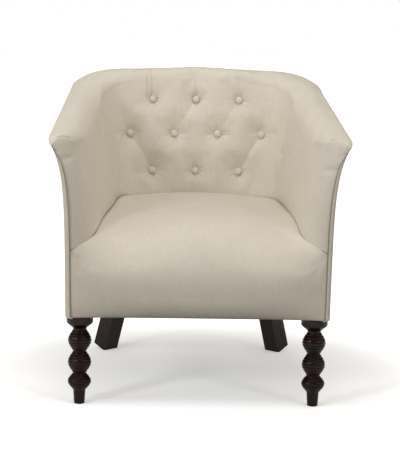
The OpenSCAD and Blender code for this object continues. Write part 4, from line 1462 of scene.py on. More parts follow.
@dataclass(frozen=True)
class CornerFill:
    """Extra padding where one arm meets the back: its depth, where it starts and how it grows."""

    depth: float
    start: float
    power: float
    full_y: float = 430
    ease: float = 0.004

    def along(self, y: Array) -> Array:
        """Share of the depth that the padding has reached at a distance behind the front face."""
        run = (y - self.start) / (self.full_y - self.start)
        run = np.clip((run + np.sqrt(run**2 + self.ease)) / 2, 0, 1)
        return 1 - (1 - run) ** self.power


@dataclass(frozen=True)
class TipFolds:
    """Crisp folds where the cloth is turned round each arm's tip, and a soft band below them.

    The folds' lines are drawn on the flat cloth, where one station is chart_w wide and chart_h high.
    """

    left: tuple[Line, ...] = (
        (11.5, 92.0, 15.2, 82.0), (15.2, 82.0, 21.8, 73.0), (21.8, 73.0, 30.8, 64.0))
    right: tuple[Line, ...] = (
        (14.5, 104.0, 18.0, 88.0), (18.0, 88.0, 24.5, 77.0), (24.5, 77.0, 32.0, 68.0))
    chart_w: float = 100
    chart_h: float = 45
    fold_depth: float = 7.0
    fold_w: float = 1.5
    low_swell: float = 2.2
    low_swell_w: float = 12
    high_swell: float = 1.2
    high_swell_w: float = 8
    band_depth: float = 2.2
    band_w: float = 0.035
    notch_depth: float = 2.0

    def depth(self, u: Array, v: Array) -> Array:
        """Depth of the folds and the band, less the swelling of the cloth beside the folds.

        Args:
            u: stations.
            v: rows.

        Returns:
            The depth at each point.
        """
        h = from_front(u)
        x, z = np.broadcast_arrays(self.chart_w * h, self.chart_h * v)
        depth = np.zeros_like(x)
        for folds, own in ((self.left, u > 4), (self.right, u <= 4)):
            lines = [off_line(x, z, line) for line in folds]
            near = np.min([np.abs(line) for line in lines], axis=0)
            below = np.max(lines, axis=0) > 0
            swell = np.where(below, self.low_swell * np.exp(-((near / self.low_swell_w) ** 2)),
                             self.high_swell * np.exp(-((near / self.high_swell_w) ** 2)))
            depth += np.where(own, self.fold_depth * np.exp(-((near / self.fold_w) ** 2)) - swell, 0)
        low = np.where(u > 4, 0.9 + 0.09 * (h - 0.1), 0.82 - 0.15 * (h - 0.1))
        band = smooth(h / 0.02) * (1 - smooth((h - 0.12) / 0.28)) * np.exp(-(((v - low) / self.band_w) ** 2))
        notch = self.notch_depth * np.exp(-((h / 0.012) ** 2) - ((v - 1.02) / 0.04) ** 2)
        return depth + self.band_depth * band + notch


@dataclass
class InsideCovers(Piece):
    """The cloth of both arms and the back, from the seat over the roll to its lip."""

    shape: TubShape
    book: MeshBook
    tufting: Tufting = field(default_factory=Tufting)
    run: ClothRun = field(default_factory=ClothRun)
    tip_folds: TipFolds = TipFolds()
    thickness: float = 2.6
    split: float = 2.55
    seam: float = 2.5
    seam_hold: float = 0.85
    arm_room: float = 2.7
    back_room: float = 9.0
    puff: float = 6.0
    right_fill: CornerFill = CornerFill(24, 90, 0.95)
    left_fill: CornerFill = CornerFill(38, 40, 1.5)
    tip_row: float = 1.05
    crook: float = 0.14
    tip_rounds: int = 60
    tip_sink: float = 0.5
    corner_rounds: int = 160
    corner_sink: float = 1.6
    softenings: int = 4
    tufted_y: float = 260
    tufted_row: float = 1.9
    column_counts: tuple[int, ...] = (60, 80, 18, 26, 52)
    row_counts: tuple[int, ...] = (92, 44, 24, 6)

    def stations(self) -> Array:
        """Stations round the tub, closer together on the tufted back.

        Returns:
            The stations.
        """
        nose, arm, arm_corner, back_corner, back = self.column_counts
        half = np.concatenate([1 - np.cos(spread(0.045, np.pi / 2, nose)), spread(1, 2, arm),
                               spread(2, self.split, arm_corner), spread(self.split, 3, back_corner),
                               spread(3, 4, back)])
        return np.concatenate([half, [4.0], 8 - half[::-1]])

    def rows(self) -> Array:
        """Rows from the foot over the roll."""
        wall, inner, outer, lip = self.row_counts
        return np.concatenate([spread(0, 1, wall), spread(1, 2, inner), spread(2, 3, outer),
                               np.linspace(3, 4, lip)])

    def base(self) -> ClothGrid:
        """The cover before the buttons pull it in."""
        u, v = self.stations()[:, None], self.rows()[None, :]
        return ClothGrid(self.shape.skin(u, v), outward=-1)

    def _tuft_mask(self, points: Array, v: Array) -> Array:
        """Where the tufting may act: on the inside and the roll's inner half, behind the arms' fronts."""
        behind = smooth((points[..., 1] - self.tufted_y) / 90)
        return behind * (1 - smooth((v - self.tufted_row) / 0.5))

    def filling(self, u: Array, z: Array) -> Array:
        """How far the padding fills the corners between the arms and the back, just above the seat.

        Args:
            u: stations.
            z: heights.

        Returns:
            The padding's depth at each point.
        """
        h = from_front(u)
        y = self.shape.side_y(self.shape.low_inside_curve(), np.minimum(h, 2))
        right, left = self.right_fill, self.left_fill
        along = np.where(u <= 4, right.depth * right.along(y), left.depth * left.along(y))
        fade = 1 - smooth((h - 2.2) / 0.95)
        foot = self.shape.side_deck_z(np.minimum(y, self.shape.seat_depth)) - 2
        up = (z - foot) / (self.shape.shoulder_z(u) - foot)
        return along * fade * quarter(up / 0.05) * (1 - np.clip(up, 0, 1)) ** 1.3

    def eased(self, grid: ClothGrid, u: Array, v: Array) -> ClothGrid:
        """Let the cloth span the hollow below each arm's tip and run evenly into the corners.

        Args:
            grid: the cover.
            u: its stations.
            v: its rows.

        Returns:
            The eased cover.
        """
        h = from_front(u)
        below_tip = (1 - smooth((h - 0.3) / 0.6)) * np.exp(-(((v - self.tip_row) / self.crook) ** 2))
        grid = grid.relaxed(np.minimum(1, 1.4 * below_tip), 1, self.tip_rounds, self.tip_sink)
        into_corner = np.exp(-(((h - 2.0) / 0.3) ** 2)) * np.ones_like(v)
        return grid.relaxed(into_corner, 0, self.corner_rounds, self.corner_sink)

    def build(self, linen: bpy.types.Material) -> None:
        """Make the three covers.

        Args:
            linen: their cloth.
        """
        grid = self.base()
        u, v = self.stations()[:, None], self.rows()[None, :]
        x, z = grid.points[..., 0], grid.points[..., 2]
        mask = self._tuft_mask(grid.points, v)
        grid = self.eased(grid.moved(self.filling(u, z)), u, v)
        pulled = grid.moved(-mask * self.tufting.dimples(x, z))
        past_seam = from_front(u) - self.seam
        on_back = smooth(past_seam / 0.35)
        relief = -mask * self.tufting.folds(x, z) - self.tip_folds.depth(u, v)
        held = self.seam_hold * np.exp(-((past_seam / 0.3) ** 2))
        relief = relief + (1 - held) * self._settled(pulled, x, z, v, on_back)
        room = lerp(self.arm_room, self.back_room, on_back)
        done = pulled.moved(held_within(relief, room, self.puff))
        ends = [0, int(np.argmin(np.abs(self.stations() - self.split))),
                int(np.argmin(np.abs(self.stations() - (8 - self.split)))), len(self.stations()) - 1]
        names = ["inside_right_arm_cover", "inside_back_cover", "inside_left_arm_cover"]
        for name, first, last in zip(names, ends[:-1], ends[1:]):
            piece = self.book.slab(name.replace("_cover", "_linen"), done.part(first, last), self.thickness)
            self.settle(piece, linen, Slot.LINEN, name)

    def _settled(self, grid: ClothGrid, x: Array, z: Array, v: Array, on_back: Array) -> Array:
        """How far the cloth lifts as it settles between its buttons and seams.

        Args:
            grid: the cover with its buttons pulled in.
            x: places across.
            z: heights.
            v: rows.
            on_back: how far each column belongs to the back, from 0 to 1.

        Returns:
            The lift at each point.
        """
        n, m = grid.points.shape[:2]
        pick = np.ix_(every_second(n), every_second(m))
        near = np.min([np.hypot(x - bx, z - bz) for bx, bz in self.tufting.buttons()], axis=0)
        pins = (near < self.tufting.seat_r).astype(float)[pick]
        pins = np.maximum(pins, smooth((np.broadcast_to(v, x.shape)[pick] - 2.0) / 1.2))
        pins[0], pins[-1], pins[:, 0], pins[:, -1] = 1, 1, 1, 1
        tight = np.broadcast_to(1 - on_back, x.shape)[pick]
        coarse = ClothGrid(grid.points[pick], grid.outward)
        lift = finer(self.run.lift(self.book, coarse, pins, tight), n, m)
        for _ in range(self.softenings):
            lift = softened(lift)
        return lift


@dataclass
class SeatCover(Piece):
    """The seat's cloth, in one piece from the hem over the rounded edge to the back."""

    shape: TubShape
    book: MeshBook
    run: ClothRun = field(default_factory=lambda: ClothRun(pressure=0.5, slack=0.002))
    room: float = 1.8
    thickness: float = 2.6
    edge_r: float = 8.0
    edge_drop: float = 5.0
    deck_len: float = 300
    far: float = 1000
    hem_turn: tuple[tuple[float, float], ...] = ((9.0, 0.4), (2.0, 0.0), (0.5, 0.6))
    corner_folds: tuple[Triple, ...] = ((372, 26, 1.6), (363, 34, 2.2), (353, 22, 1.3))
    corner_fold_w: float = 2.6
    hem_crimps: tuple[Triple, ...] = ((221, 75, 0.9), (227, 60, 1.1), (234, 45, 0.8))
    hem_crimp_w: float = 1.6
    column_count: int = 133
    row_counts: tuple[int, ...] = (40, 52, 64)

    def widths(self) -> Array:
        """Places across, closer together at the sides."""
        even = np.linspace(-1, 1, self.column_count)
        return np.sin(even * 1.35) / np.sin(1.35) * 0.5 + even * 0.5

    def rows(self) -> Array:
        """Rows from the hem to the back of the deck."""
        front, edge, deck = self.row_counts
        return np.concatenate([spread(0.1, 1, front) ** 1.8, spread(1, 2, edge), np.linspace(2, 3, deck)])

    def puckers(self, points: Array) -> Array:
        """Depth of the small folds at the front corners and along the hem.

        Args:
            points: points of the cover.

        Returns:
            The depth at each point.
        """
        z, x = points[..., 2], np.abs(points[..., 0])
        front = 1 - smooth((points[..., 1] - 20) / 60)
        depth = np.zeros_like(z)
        for height, reach, size in self.corner_folds:
            run = np.clip((x - (self.shape.base_half_w - reach)) / reach, 0, 1)
            depth += size * run * np.exp(-np.abs(z - height - 3 * run) / self.corner_fold_w)
        for height, reach, size in self.hem_crimps:
            run = np.clip((x - (self.shape.base_half_w - reach)) / reach, 0, 1)
            depth += size * smooth(run * 2) * np.exp(-np.abs(z - height) / self.hem_crimp_w)
        return depth * front

    def build(self, linen: bpy.types.Material) -> None:
        """Make the seat's cover.

        Args:
            linen: its cloth.
        """
        w, r = self.widths()[:, None], self.rows()[None, :]
        points = self.shape.seat_point(w, r)
        from_side = (1 - np.abs(w)) * self.shape.base_half_w
        from_back = (3 - r) * self.deck_len + np.where(r < 2, self.far, 0)
        on_deck = smooth((r - 1.15) / 0.3)
        drop = 1 - quarter(np.minimum(from_side, from_back) / self.edge_r)
        points[..., 2] -= self.edge_drop * drop * on_deck
        grid = ClothGrid(points)
        relief = -self.puckers(points)
        n, m = points.shape[:2]
        pick = np.ix_(every_second(n), every_second(m))
        pins = np.zeros(points[..., 0][pick].shape)
        pins[:2], pins[-2:], pins[:, :2], pins[:, -2:] = 1, 1, 1, 1
        lift = self.run.lift(self.book, ClothGrid(points[pick], grid.outward), pins, np.zeros_like(pins))
        above_hem = smooth((points[..., 2] - self.shape.hem_z - 20) / 120)
        relief = relief + above_hem * softened(softened(finer(lift, n, m)))
        grid = grid.moved(held_within(relief, self.room, self.room))
        hem = []
        for back, up in self.hem_turn:
            row = grid.points[:, 0].copy()
            row[:, 1] += back
            row[:, 2] = self.shape.hem_z + up
            hem.append(row[:, None])
        grid = ClothGrid(np.concatenate([*hem, grid.points], axis=1), grid.outward)
        piece = self.book.slab("seat_linen", grid, self.thickness)
        self.settle(piece, linen, Slot.LINEN, "seat_cover")


@dataclass
class OutsidePanels(Piece):
    """The panels of cloth drawn over the outside of both arms and the back."""

    shape: TubShape
    book: MeshBook
    thickness: float = 1.7
    split: float = 2.5
    hem_turn: tuple[tuple[float, float], ...] = ((6.5, 0.3), (2.0, 0.0), (0.5, 0.6))
    wrap: tuple[tuple[float, float], ...] = ((7.2, 1.7), (5.5, 2.1), (3.5, 2.1), (1.8, 1.7), (0.6, 0.9))

    def _grid(self, stations: Array) -> ClothGrid:
        """The panel over some stations, with its hem turned under.

        Args:
            stations: stations of its columns.

        Returns:
            The panel's points.
        """
        u = stations[:, None]
        h = np.concatenate([[0.006], np.linspace(0.02, 0.8, 44), np.linspace(0.815, 1, 14)])[None, :]
        top = self.shape.lip_z(u) - self.shape.layer_gap
        points = self.shape.outside(u, lerp(self.shape.hem_z, top, h))
        hem = [self.shape.outside(u, np.full_like(u, self.shape.hem_z + up), back)
               for back, up in self.hem_turn]
        return ClothGrid(np.concatenate([*hem, points], axis=1))

    def _wrapped(self, grid: ClothGrid, side: Side) -> ClothGrid:
        """Carry an arm's panel round onto the front, as far as its seam.

        Args:
            grid: the panel.
            side: the arm's side.

        Returns:
            The panel as far as its seam.
        """
        first = grid.points[0] if side is Side.RIGHT else grid.points[-1]
        share = self.shape.wrap_share(first[:, 2])
        turned = [first + np.stack([-side.value * over * share, -front * share, np.zeros_like(share)], -1)
                  for over, front in self.wrap]
        if side is Side.RIGHT:
            return ClothGrid(np.concatenate([np.stack(turned), grid.points]), grid.outward)
        return ClothGrid(np.concatenate([grid.points, np.stack(turned[::-1])]), grid.outward)

    def build(self, linen: bpy.types.Material) -> None:
        """Make the three panels.

        Args:
            linen: their cloth.
        """
        nose = np.concatenate([[0.001], 1 - np.cos(spread(0.09, np.pi / 2, 16))])
        side = np.concatenate([nose, spread(1, 2, 46), np.linspace(2, self.split, 22)])
        back = np.concatenate([spread(self.split, 3, 20), np.linspace(3, 5, 61),
                               8 - spread(self.split, 3, 20)[::-1]])
        parts = (("outside_right_arm_panel", side, Side.RIGHT), ("outside_back_panel", back, None),
                 ("outside_left_arm_panel", (8 - side)[::-1], Side.LEFT))
        for name, stations, arm in parts:
            grid = self._grid(stations)
            if arm:
                grid = self._wrapped(grid, arm)
            piece = self.book.slab(name.replace("_panel", "_linen"), grid, self.thickness)
            self.settle(piece, linen, Slot.LINEN, name)
            grid.cut_size()
            self._area(grid)

    def _area(self, grid: ClothGrid) -> float:
        """Flat area of a panel in square metres.

        Args:
            grid: the panel.

        Returns:
            The area.
        """
        p = grid.points * MM
        first = np.cross(p[1:, :-1] - p[:-1, :-1], p[:-1, 1:] - p[:-1, :-1])
        second = np.cross(p[1:, 1:] - p[1:, :-1], p[1:, 1:] - p[:-1, 1:])
        return float((np.linalg.norm(first, axis=-1) + np.linalg.norm(second, axis=-1)).sum() / 2)


@dataclass
class SeamCords(Piece):
    """Fine welts sewn down the outer front edge of each arm."""

    shape: TubShape
    book: MeshBook
    radius: float = 1.2
    inset: float = 7.2
    sides: int = 10
    rings: int = 260

    def build(self, linen: bpy.types.Material) -> None:
        """Make both cords.

        Args:
            linen: their cloth, which main() gives darker tones as painted shade of the seam's gap.
        """
        for side in Side:
            z = np.linspace(self.shape.hem_z + 0.5, float(self.shape.lip_z(np.array(0.0))), self.rings)
            edge = self.shape.outside(np.zeros_like(z), z)
            share = self.shape.wrap_share(z)
            axis = np.stack([side.value * (edge[:, 0] - self.inset * share - self.radius),
                             np.full_like(z, 0.3 - self.radius - self.shape.layer_gap), z], -1)
            turn = np.arange(self.sides) * 2 * np.pi / self.sides
            pinch = self.radius * (0.9 + 0.1 * np.abs(np.sin(np.arange(self.rings) * 0.55)))
            ring = np.stack([np.cos(turn), np.sin(turn), np.zeros_like(turn)], -1)
            points = axis[:, None] + pinch[:, None, None] * ring
            faces = tube_faces(self.rings, self.sides)
            place = np.stack(np.broadcast_arrays(turn * self.radius, z[:, None], 0.0), -1)
            name = f"{side.name.lower()}_arm_seam_cord"
            piece = self.book.raw(name.replace("seam_cord", "welt"), points, faces, place)
            self.settle(piece, linen, Slot.LINEN, name)


@dataclass
class CoveredButtons(Piece):
    """Ten cloth-covered buttons, seated in the tufting."""

    shape: TubShape
    book: MeshBook
    tufting: Tufting
    radius: float = 9.0
    front: float = 9.5
    rim: float = 5.6
    gathers: int = 15
    gather_depth: float = 0.035
    under: tuple[tuple[float, float], ...] = ((0.8, 0.6), (0.8, 2.4), (6.2, 3.6), (8.3, 4.5), (8.9, 5.1))
    turn_step: float = 0.7
    cloth_step: float = 40.0
    sides: int = 60

    def _station(self, x: float) -> float:
        """Station at which the inside back has this X.

        Args:
            x: a place across.

        Returns:
            The station.
        """
        straight = self.shape.inside_straight
        if abs(x) <= straight:
            return 4 - x / straight
        turn = 2 + math.acos((abs(x) - straight) / self.shape.inside_corner_r) / (math.pi / 2)
        return turn if x > 0 else 8 - turn

    def _profile(self) -> Array:
        """Radius and height of the button's outline, from behind to the front."""
        dome = [(self.radius * math.cos(a), self.rim + (self.front - self.rim) * math.sin(a))
                for a in np.linspace(0, np.pi / 2 * 0.985, 12)]
        return np.array([*self.under, *dome])

    def build(self, linen: bpy.types.Material) -> None:
        """Make the buttons as one piece.

        Args:
            linen: their cloth.
        """
        points, faces = self.book.revolved(self._profile(), self.sides)
        r = np.hypot(points[:, 0], points[:, 1])
        angle = np.arctan2(points[:, 1], points[:, 0])
        rim = smooth((r - 5.5) / 3.2)
        squeeze = 1 - self.gather_depth * rim * (0.5 + 0.5 * np.cos(self.gathers * angle)) ** 2
        points[:, :2] *= squeeze[:, None]
        all_points, all_faces, places = [], [], []
        for number, (x, z) in enumerate(self.tufting.buttons()):
            u = np.array(self._station(x))
            p = self.shape.inner_point(u, np.array(z))
            right = self.shape.inner_point(u - 0.01, np.array(z)) - p
            up = self.shape.inner_point(u, np.array(z + 1.0)) - p
            right, up = right / np.linalg.norm(right), up / np.linalg.norm(up)
            out = np.cross(right, up)
            out = out if out[1] < 0 else -out
            turn = self.turn_step * number
            across = right * math.cos(turn) + up * math.sin(turn)
            over = np.cross(out, across)
            seat = p - out * self.tufting.depth
            moved = seat + points[:, :1] * across + points[:, 1:2] * over + points[:, 2:] * out
            all_faces += [[i + number * len(points) for i in face] for face in faces]
            all_points.append(moved)
            places.append(points * (1 + 0.15 * (r[:, None] / self.radius)) + self.cloth_step * number)
        piece = self.book.raw("covered_buttons", np.concatenate(all_points), all_faces,
                              np.concatenate(places))
        piece.data.set_sharp_from_angle(angle=math.radians(60))
        self.settle(piece, linen, Slot.LINEN, "tufting_buttons")


@dataclass
class FrontLegs(Piece):
    """The two turned front legs, each with a collar, three ringed bobbins and a foot."""

    shape: TubShape
    book: MeshBook
    axis_x: float = 284
    axis_y: float = 45
    collar_d: float = 65
    collar_h: float = 35
    cup_h: float = 19
    bobbin_h: float = 54
    bobbin_d: float = 57
    neck_d: float = 32
    foot_top_d: float = 30
    foot_d: float = 26
    foot_h: float = 35
    rings: int = 7
    ring_depth: float = 2.2
    sides: int = 56

    def _bobbin(self, low: float, high: float) -> list[tuple[float, float]]:
        """Outline of one bobbin with its turned rings.

        Args:
            low: height of its lower end.
            high: height of its upper end.

        Returns:
            Pairs of radius and height.
        """
        outline = []
        for t in spread(0, 1, 64):
            full = lerp(self.neck_d / 2, self.bobbin_d / 2, math.sin(math.pi * t) ** 1.15)
            groove = (1 - abs(math.sin(math.pi * self.rings * (t - 0.5 / self.rings) + np.pi / 2))) ** 3
            outline.append((full - self.ring_depth * groove * math.sin(math.pi * t) ** 0.4,
                            lerp(low, high, t)))
        return outline

    def profile(self) -> Array:
        """Radius and height of the whole leg, from the floor up.

        Returns:
            Pairs of radius and height.
        """
        collar_z = self.shape.hem_z - self.collar_h
        levels = [self.foot_h, collar_z - 2 * self.bobbin_h, collar_z - self.bobbin_h, collar_z]
        outline = [(0.5, 0.0), (self.foot_d / 2 - 2.0, 0.0), (self.foot_d / 2 - 0.6, 0.5),
                   (self.foot_d / 2, 1.8)]
        outline += [(lerp(self.foot_d, self.foot_top_d, t) / 2, lerp(1.8, self.foot_h - 0.4, t))
                    for t in np.linspace(0.1, 1, 8)]
        for low, high in zip(levels[:-1], levels[1:]):
            outline += self._bobbin(low, high)
        outline += [(lerp(self.neck_d, self.collar_d, float(smooth(t))) / 2, collar_z + self.cup_h * t)
                    for t in np.linspace(0, 1, 12)]
        top = self.shape.hem_z
        half = self.collar_d / 2
        outline += [(half, top - 4.5), (half - 0.3, top - 1.2), (half - 2, top), (half - 8, top),
                    (half - 8, top + 2), (0.5, top + 2)]
        return np.array(outline)

    def build(self, wood: bpy.types.Material) -> None:
        """Make both legs.

        Args:
            wood: their finish.
        """
        for side in Side:
            points, faces = self.book.revolved(self.profile(), self.sides)
            points = points + np.array([side.value * self.axis_x, self.axis_y, 0.0])
            name = f"front_{side.name.lower()}_leg"
            piece = self.book.raw(name.replace("_leg", "_turned_leg"), points, faces)
            piece.data.set_sharp_from_angle(angle=math.radians(48))
            self.settle(piece, wood, Slot.STAINED_WOOD, name)


class Padding(Enum):
    """How a hidden soft layer is made."""

    FOAM = "foam"
    SHEET = "sheet"


@dataclass
class HiddenLayer(Piece):
    """A soft layer inside the chair, made from the form of its CAD solid."""

    node: str
    kind: Padding
    slot: Slot
    flat: tuple[float, float] = (0.3, 0.3)
    longest: float = 0.03
    wave: float = 0.0004
    rests_on: tuple[str, ...] = ()
    rounds: int = 5
    most_points: int = 14000

    def build(self, source: bpy.types.Object, finish: bpy.types.Material) -> None:
        """Make the layer and put it in the node's place.

        Args:
            source: the CAD node's object.
            finish: the layer's material.
        """
        piece, work = self.opened_copy(source, f"{self.node}_layer")
        self.split_edges(work, self.longest, self.rounds, self.most_points)
        if self.kind is Padding.FOAM:
            for _ in range(2):
                bmesh.ops.smooth_vert(work, verts=work.verts, factor=0.35, use_axis_x=True,
                                      use_axis_y=True, use_axis_z=True)
        else:
            self._waves(work)
        mesh = self.closed(piece, work)
        mesh.set_sharp_from_angle(angle=math.radians(40))
        self.settle(piece, finish, self.slot, self.node)

    def _waves(self, work: bmesh.types.BMesh) -> None:
        """Give a stretched sheet slight waves, the same on both of its faces.

        Args:
            work: the sheet's mesh, opened for editing.
        """
        for vert in work.verts:
            x, y, z = vert.co
            push = math.sin(23 * x + 17 * z) * math.sin(19 * y - 13 * x + 11 * z)
            vert.co.z += self.wave * push
            vert.co.y += self.wave * 0.5 * push


@dataclass
class DustCover(Piece):
    """The black cloth under the frame, cut round the legs and sagging a little between its staples."""

    sag: float = 0.0035
    longest: float = 0.022
    rounds: int = 6

    def build(self, source: bpy.types.Object, finish: bpy.types.Material) -> None:
        """Make the dust cover.

        Args:
            source: the CAD node's object.
            finish: its material.
        """
        piece, work = self.opened_copy(source, "dust_cloth")
        self.split_edges(work, self.longest, self.rounds)
        low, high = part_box("dust_cover")
        for vert in work.verts:
            s = 2 * (vert.co.x - low.x) / (high.x - low.x) - 1
            t = 2 * (vert.co.y - low.y) / (high.y - low.y) - 1
            dish = max(0.0, 1 - abs(s) ** 3) * max(0.0, 1 - abs(t) ** 3)
            edge = max(abs(s), abs(t))
            pull = 0.25 * math.sin(58 * s) * math.sin(51 * t) * edge**6
            vert.co.z -= self.sag * (dish + pull * dish**0.25)
        mesh = self.closed(piece, work)
        self.settle(piece, finish, Slot.DUST_CLOTH, "dust_cover")


@dataclass(frozen=True)
class Lamp:
    """A soft square lamp: its place and size in metres, its power in watts and its colour."""

    name: str
    at: Triple
    size: float
    power: float
    tone: Colour

    def hang(self, aim: Triple) -> None:
        """Hang the lamp so that it faces a point.

        Args:
            aim: the point, in metres.
        """
        data = bpy.data.lights.new(self.name, "AREA")
        data.shape = "RECTANGLE"
        data.size = self.size
        data.size_y = self.size
        data.energy = self.power
        data.color = self.tone
        lamp = bpy.data.objects.new(self.name, data)
        turn = (Vector(aim) - Vector(self.at)).to_track_quat("-Z", "Y").to_matrix().to_4x4()
        lamp.matrix_world = Matrix.Translation(self.at) @ turn
        bpy.context.scene.collection.objects.link(lamp)


WHITE_LIGHT, WARM_LIGHT = (0.99, 1.0, 1.01), (1.0, 0.995, 0.98)
LAMPS = (
    Lamp("front_left", (-2.5, -3.0, 1.95), 0.7, 40.0, WHITE_LIGHT),
    Lamp("front_right", (2.5, -3.0, 1.95), 0.7, 20.0, WARM_LIGHT),
    Lamp("side_left", (-2.8, -1.2, 1.3), 1.4, 22.0, WHITE_LIGHT),
    Lamp("side_right", (2.8, -1.2, 1.3), 1.4, 10.0, WARM_LIGHT),
    Lamp("overhead", (0.0, -0.6, 2.8), 1.6, 24.0, WHITE_LIGHT),
)


@dataclass
class Studio:
    """Floor, light and camera of the photograph."""

    camera_at: Triple = (-0.1111, -4.6146, 1.0945)
    heading: float = 1.5065
    pitch: float = 8.7122
    roll: float = 1.0198
    lens: float = 143.22
    world_level: float = 0.33
    world_tint: Colour = (1.0, 0.945, 0.83)
    lamp_aim: Triple = (0.0, 0.0, 0.4)
    floor_half: float = 14.0

    def build(self) -> None:
        """Set up everything that isn't the chair."""
        scene = bpy.context.scene
        scene.view_settings.view_transform = "Standard"
        self._camera(scene)
        self._world(scene)
        self._floor()
        for lamp in LAMPS:
            lamp.hang(self.lamp_aim)

    def _camera(self, scene: bpy.types.Scene) -> None:
        """Set the camera at the photograph's viewing angle.

        Args:
            scene: the scene.
        """
        data = bpy.data.cameras.new("camera")
        data.lens = self.lens
        data.sensor_width = 36
        camera = bpy.data.objects.new("camera", data)
        scene.collection.objects.link(camera)
        turn = (Matrix.Rotation(math.radians(-self.heading), 4, "Z")
                @ Matrix.Rotation(math.radians(90 - self.pitch), 4, "X")
                @ Matrix.Rotation(math.radians(self.roll), 4, "Z"))
        camera.matrix_world = Matrix.Translation(self.camera_at) @ turn
        scene.camera = camera

    def _world(self, scene: bpy.types.Scene) -> None:
        """White to the camera, softer as a light.

        Args:
            scene: the scene.
        """
        world = WorldShader("studio")
        camera = world.add("ShaderNodeLightPath", out="Is Camera Ray")
        seen = world.add("ShaderNodeBackground", None, {"Color": (1.0, 1.0, 1.0)})
        light = world.add("ShaderNodeBackground", None,
                          {"Color": self.world_tint, "Strength": self.world_level})
        scene.world = world.close(world.add("ShaderNodeMixShader", None, {"Fac": camera, 1: light, 2: seen}))

    def _floor(self) -> None:
        """A wide seamless floor."""
        mesh = bpy.data.meshes.new("floor")
        half = self.floor_half
        mesh.from_pydata([(-half, -half, 0), (half, -half, 0), (half, half, 0), (-half, half, 0)], [],
                         [(0, 1, 2, 3)])
        floor = bpy.data.objects.new("floor", mesh)
        mesh.materials.append(StudioFloor().material())
        bpy.context.scene.collection.objects.link(floor)


HIDDEN_LAYERS = (
    HiddenLayer("seat_foam", Padding.FOAM, Slot.FOAM),
    HiddenLayer("back_foam", Padding.FOAM, Slot.FOAM),
    HiddenLayer("left_arm_foam", Padding.FOAM, Slot.FOAM),
    HiddenLayer("right_arm_foam", Padding.FOAM, Slot.FOAM),
    HiddenLayer("front_edge_padding", Padding.FOAM, Slot.WADDING, longest=0.02),
    HiddenLayer("seat_hessian", Padding.SHEET, Slot.HESSIAN, flat=(0.62, 0.61),
                rests_on=("left_side_rail", "right_side_rail")),
    HiddenLayer("back_hessian", Padding.SHEET, Slot.HESSIAN, flat=(0.53, 0.36),
                rests_on=("top_back_rail", "back_tack_rail")),
    HiddenLayer("left_arm_hessian", Padding.SHEET, Slot.HESSIAN, flat=(0.60, 0.34),
                rests_on=("left_arm_top_rail", "left_arm_tack_rail")),
    HiddenLayer("right_arm_hessian", Padding.SHEET, Slot.HESSIAN, flat=(0.60, 0.34),
                rests_on=("right_arm_top_rail", "right_arm_tack_rail")),
    HiddenLayer("back_webbing", Padding.SHEET, Slot.WEBBING, flat=(0.16, 0.36), longest=0.02,
                rests_on=("top_back_rail", "back_tack_rail")),
)

REAR_LEGS = ("rear_left_leg", "rear_right_leg")
FRAME_ALONG_X = ("front_rail", "rear_rail", "top_back_rail", "back_tack_rail",
                 "rear_left_corner_segment", "rear_right_corner_segment", "front_corner_blocks")
FRAME_ALONG_Y = ("left_side_rail", "right_side_rail", "left_arm_top_rail", "right_arm_top_rail",
                 "left_arm_tack_rail", "right_arm_tack_rail")
FRAME_UPRIGHT = ("left_front_arm_post", "right_front_arm_post", "left_back_post", "right_back_post")
WIRE_PARTS = ("seat_springs",)
ZINC_PARTS = ("spring_clips", "hanger_bolts", "tee_nuts", "corner_block_screws")


def dress(nodes: dict[str, bpy.types.Object], names: Iterable[str], finish: bpy.types.Material) -> None:
    """Give CAD nodes that stay their finish.

    Args:
        nodes: the CAD nodes by name.
        names: those to dress.
        finish: their material.
    """
    for name in names:
        piece = nodes[name]
        for slot in piece.material_slots:
            slot.material = finish
        LOG.info("dressed %s", name)


def ease_edges(piece: bpy.types.Object, width: float) -> None:
    """Round the edges of a squared piece of wood.

    Args:
        piece: a CAD node that stays.
        width: width of the rounding in metres.
    """
    weld = piece.modifiers.new("joined_corners", "WELD")
    weld.merge_threshold = SAME_POINT
    bevel = piece.modifiers.new("eased_edges", "BEVEL")
    bevel.width = width
    bevel.segments = 3
    bevel.limit_method = "ANGLE"
    bevel.angle_limit = math.radians(35)


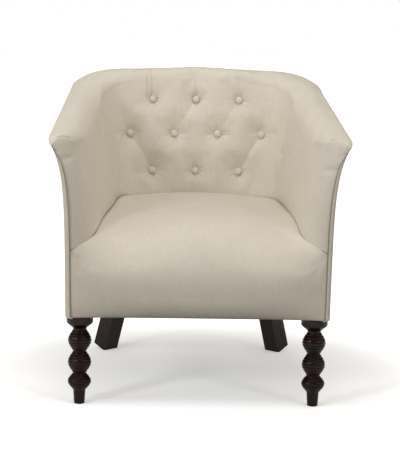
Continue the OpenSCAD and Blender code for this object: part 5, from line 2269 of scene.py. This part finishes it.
def main() -> None:
    """Build the chair piece by piece, then the studio round it."""
    logging.basicConfig(level=logging.INFO, format="%(name)s: %(message)s")
    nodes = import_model()["nodes"]
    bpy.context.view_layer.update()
    shape = TubShape()
    book = MeshBook(shape)
    tufting = Tufting()
    linen = Linen().material()
    espresso = StainedWood().material()
    InsideCovers(shape, book, tufting).build(linen)
    SeatCover(shape, book).build(linen)
    OutsidePanels(shape, book).build(linen)
    # Painted shade: the welts take a darker linen that stands for the shadow in the gap of each seam.
    shaded = Linen("shaded_cord_linen", (0.38, 0.345, 0.29), (0.42, 0.39, 0.33), (0.26, 0.22, 0.17))
    SeamCords(shape, book).build(shaded.material())
    CoveredButtons(shape, book, tufting).build(linen)
    FrontLegs(shape, book).build(espresso)
    dress(nodes, REAR_LEGS, espresso)
    for name in REAR_LEGS:
        ease_edges(nodes[name], 0.0015)
    soft = {
        Slot.FOAM: Foam().material(),
        Slot.WADDING: CoarseCloth("cotton_wadding", (0.82, 0.80, 0.74), (0.60, 0.57, 0.50),
                                  pitch=0.004, relief=0.0012, hairs=0.9).material(),
        Slot.HESSIAN: CoarseCloth("jute_hessian", (0.52, 0.38, 0.21), (0.20, 0.13, 0.06),
                                  pitch=0.0022, relief=0.0006).material(),
        Slot.WEBBING: CoarseCloth("woven_webbing", (0.50, 0.40, 0.26), (0.24, 0.10, 0.05),
                                  pitch=0.0016, relief=0.0006, stripe=0.8).material(),
    }
    for layer in HIDDEN_LAYERS:
        layer.build(nodes[layer.node], soft[layer.slot])
    dust = CoarseCloth("black_dust_cloth", (0.03, 0.03, 0.032), (0.012, 0.012, 0.013),
                       pitch=0.0012, relief=0.0003)
    DustCover().build(nodes["dust_cover"], dust.material())
    dress(nodes, FRAME_ALONG_X, SawnWood("frame_beech_across").material())
    dress(nodes, FRAME_ALONG_Y, SawnWood("frame_beech_deep", grain=(90.0, 6.0, 90.0)).material())
    dress(nodes, FRAME_UPRIGHT, SawnWood("frame_beech_upright", grain=(90.0, 90.0, 6.0)).material())
    dress(nodes, WIRE_PARTS, Metal("drawn_spring_wire", (0.42, 0.42, 0.43), (0.2, 0.2, 0.21)).material())
    dress(nodes, ZINC_PARTS, Metal("bright_zinc").material())
    dress(nodes, ("button_washers",), Plastic().material())
    Studio().build()


if __name__ == "__main__":
    main()
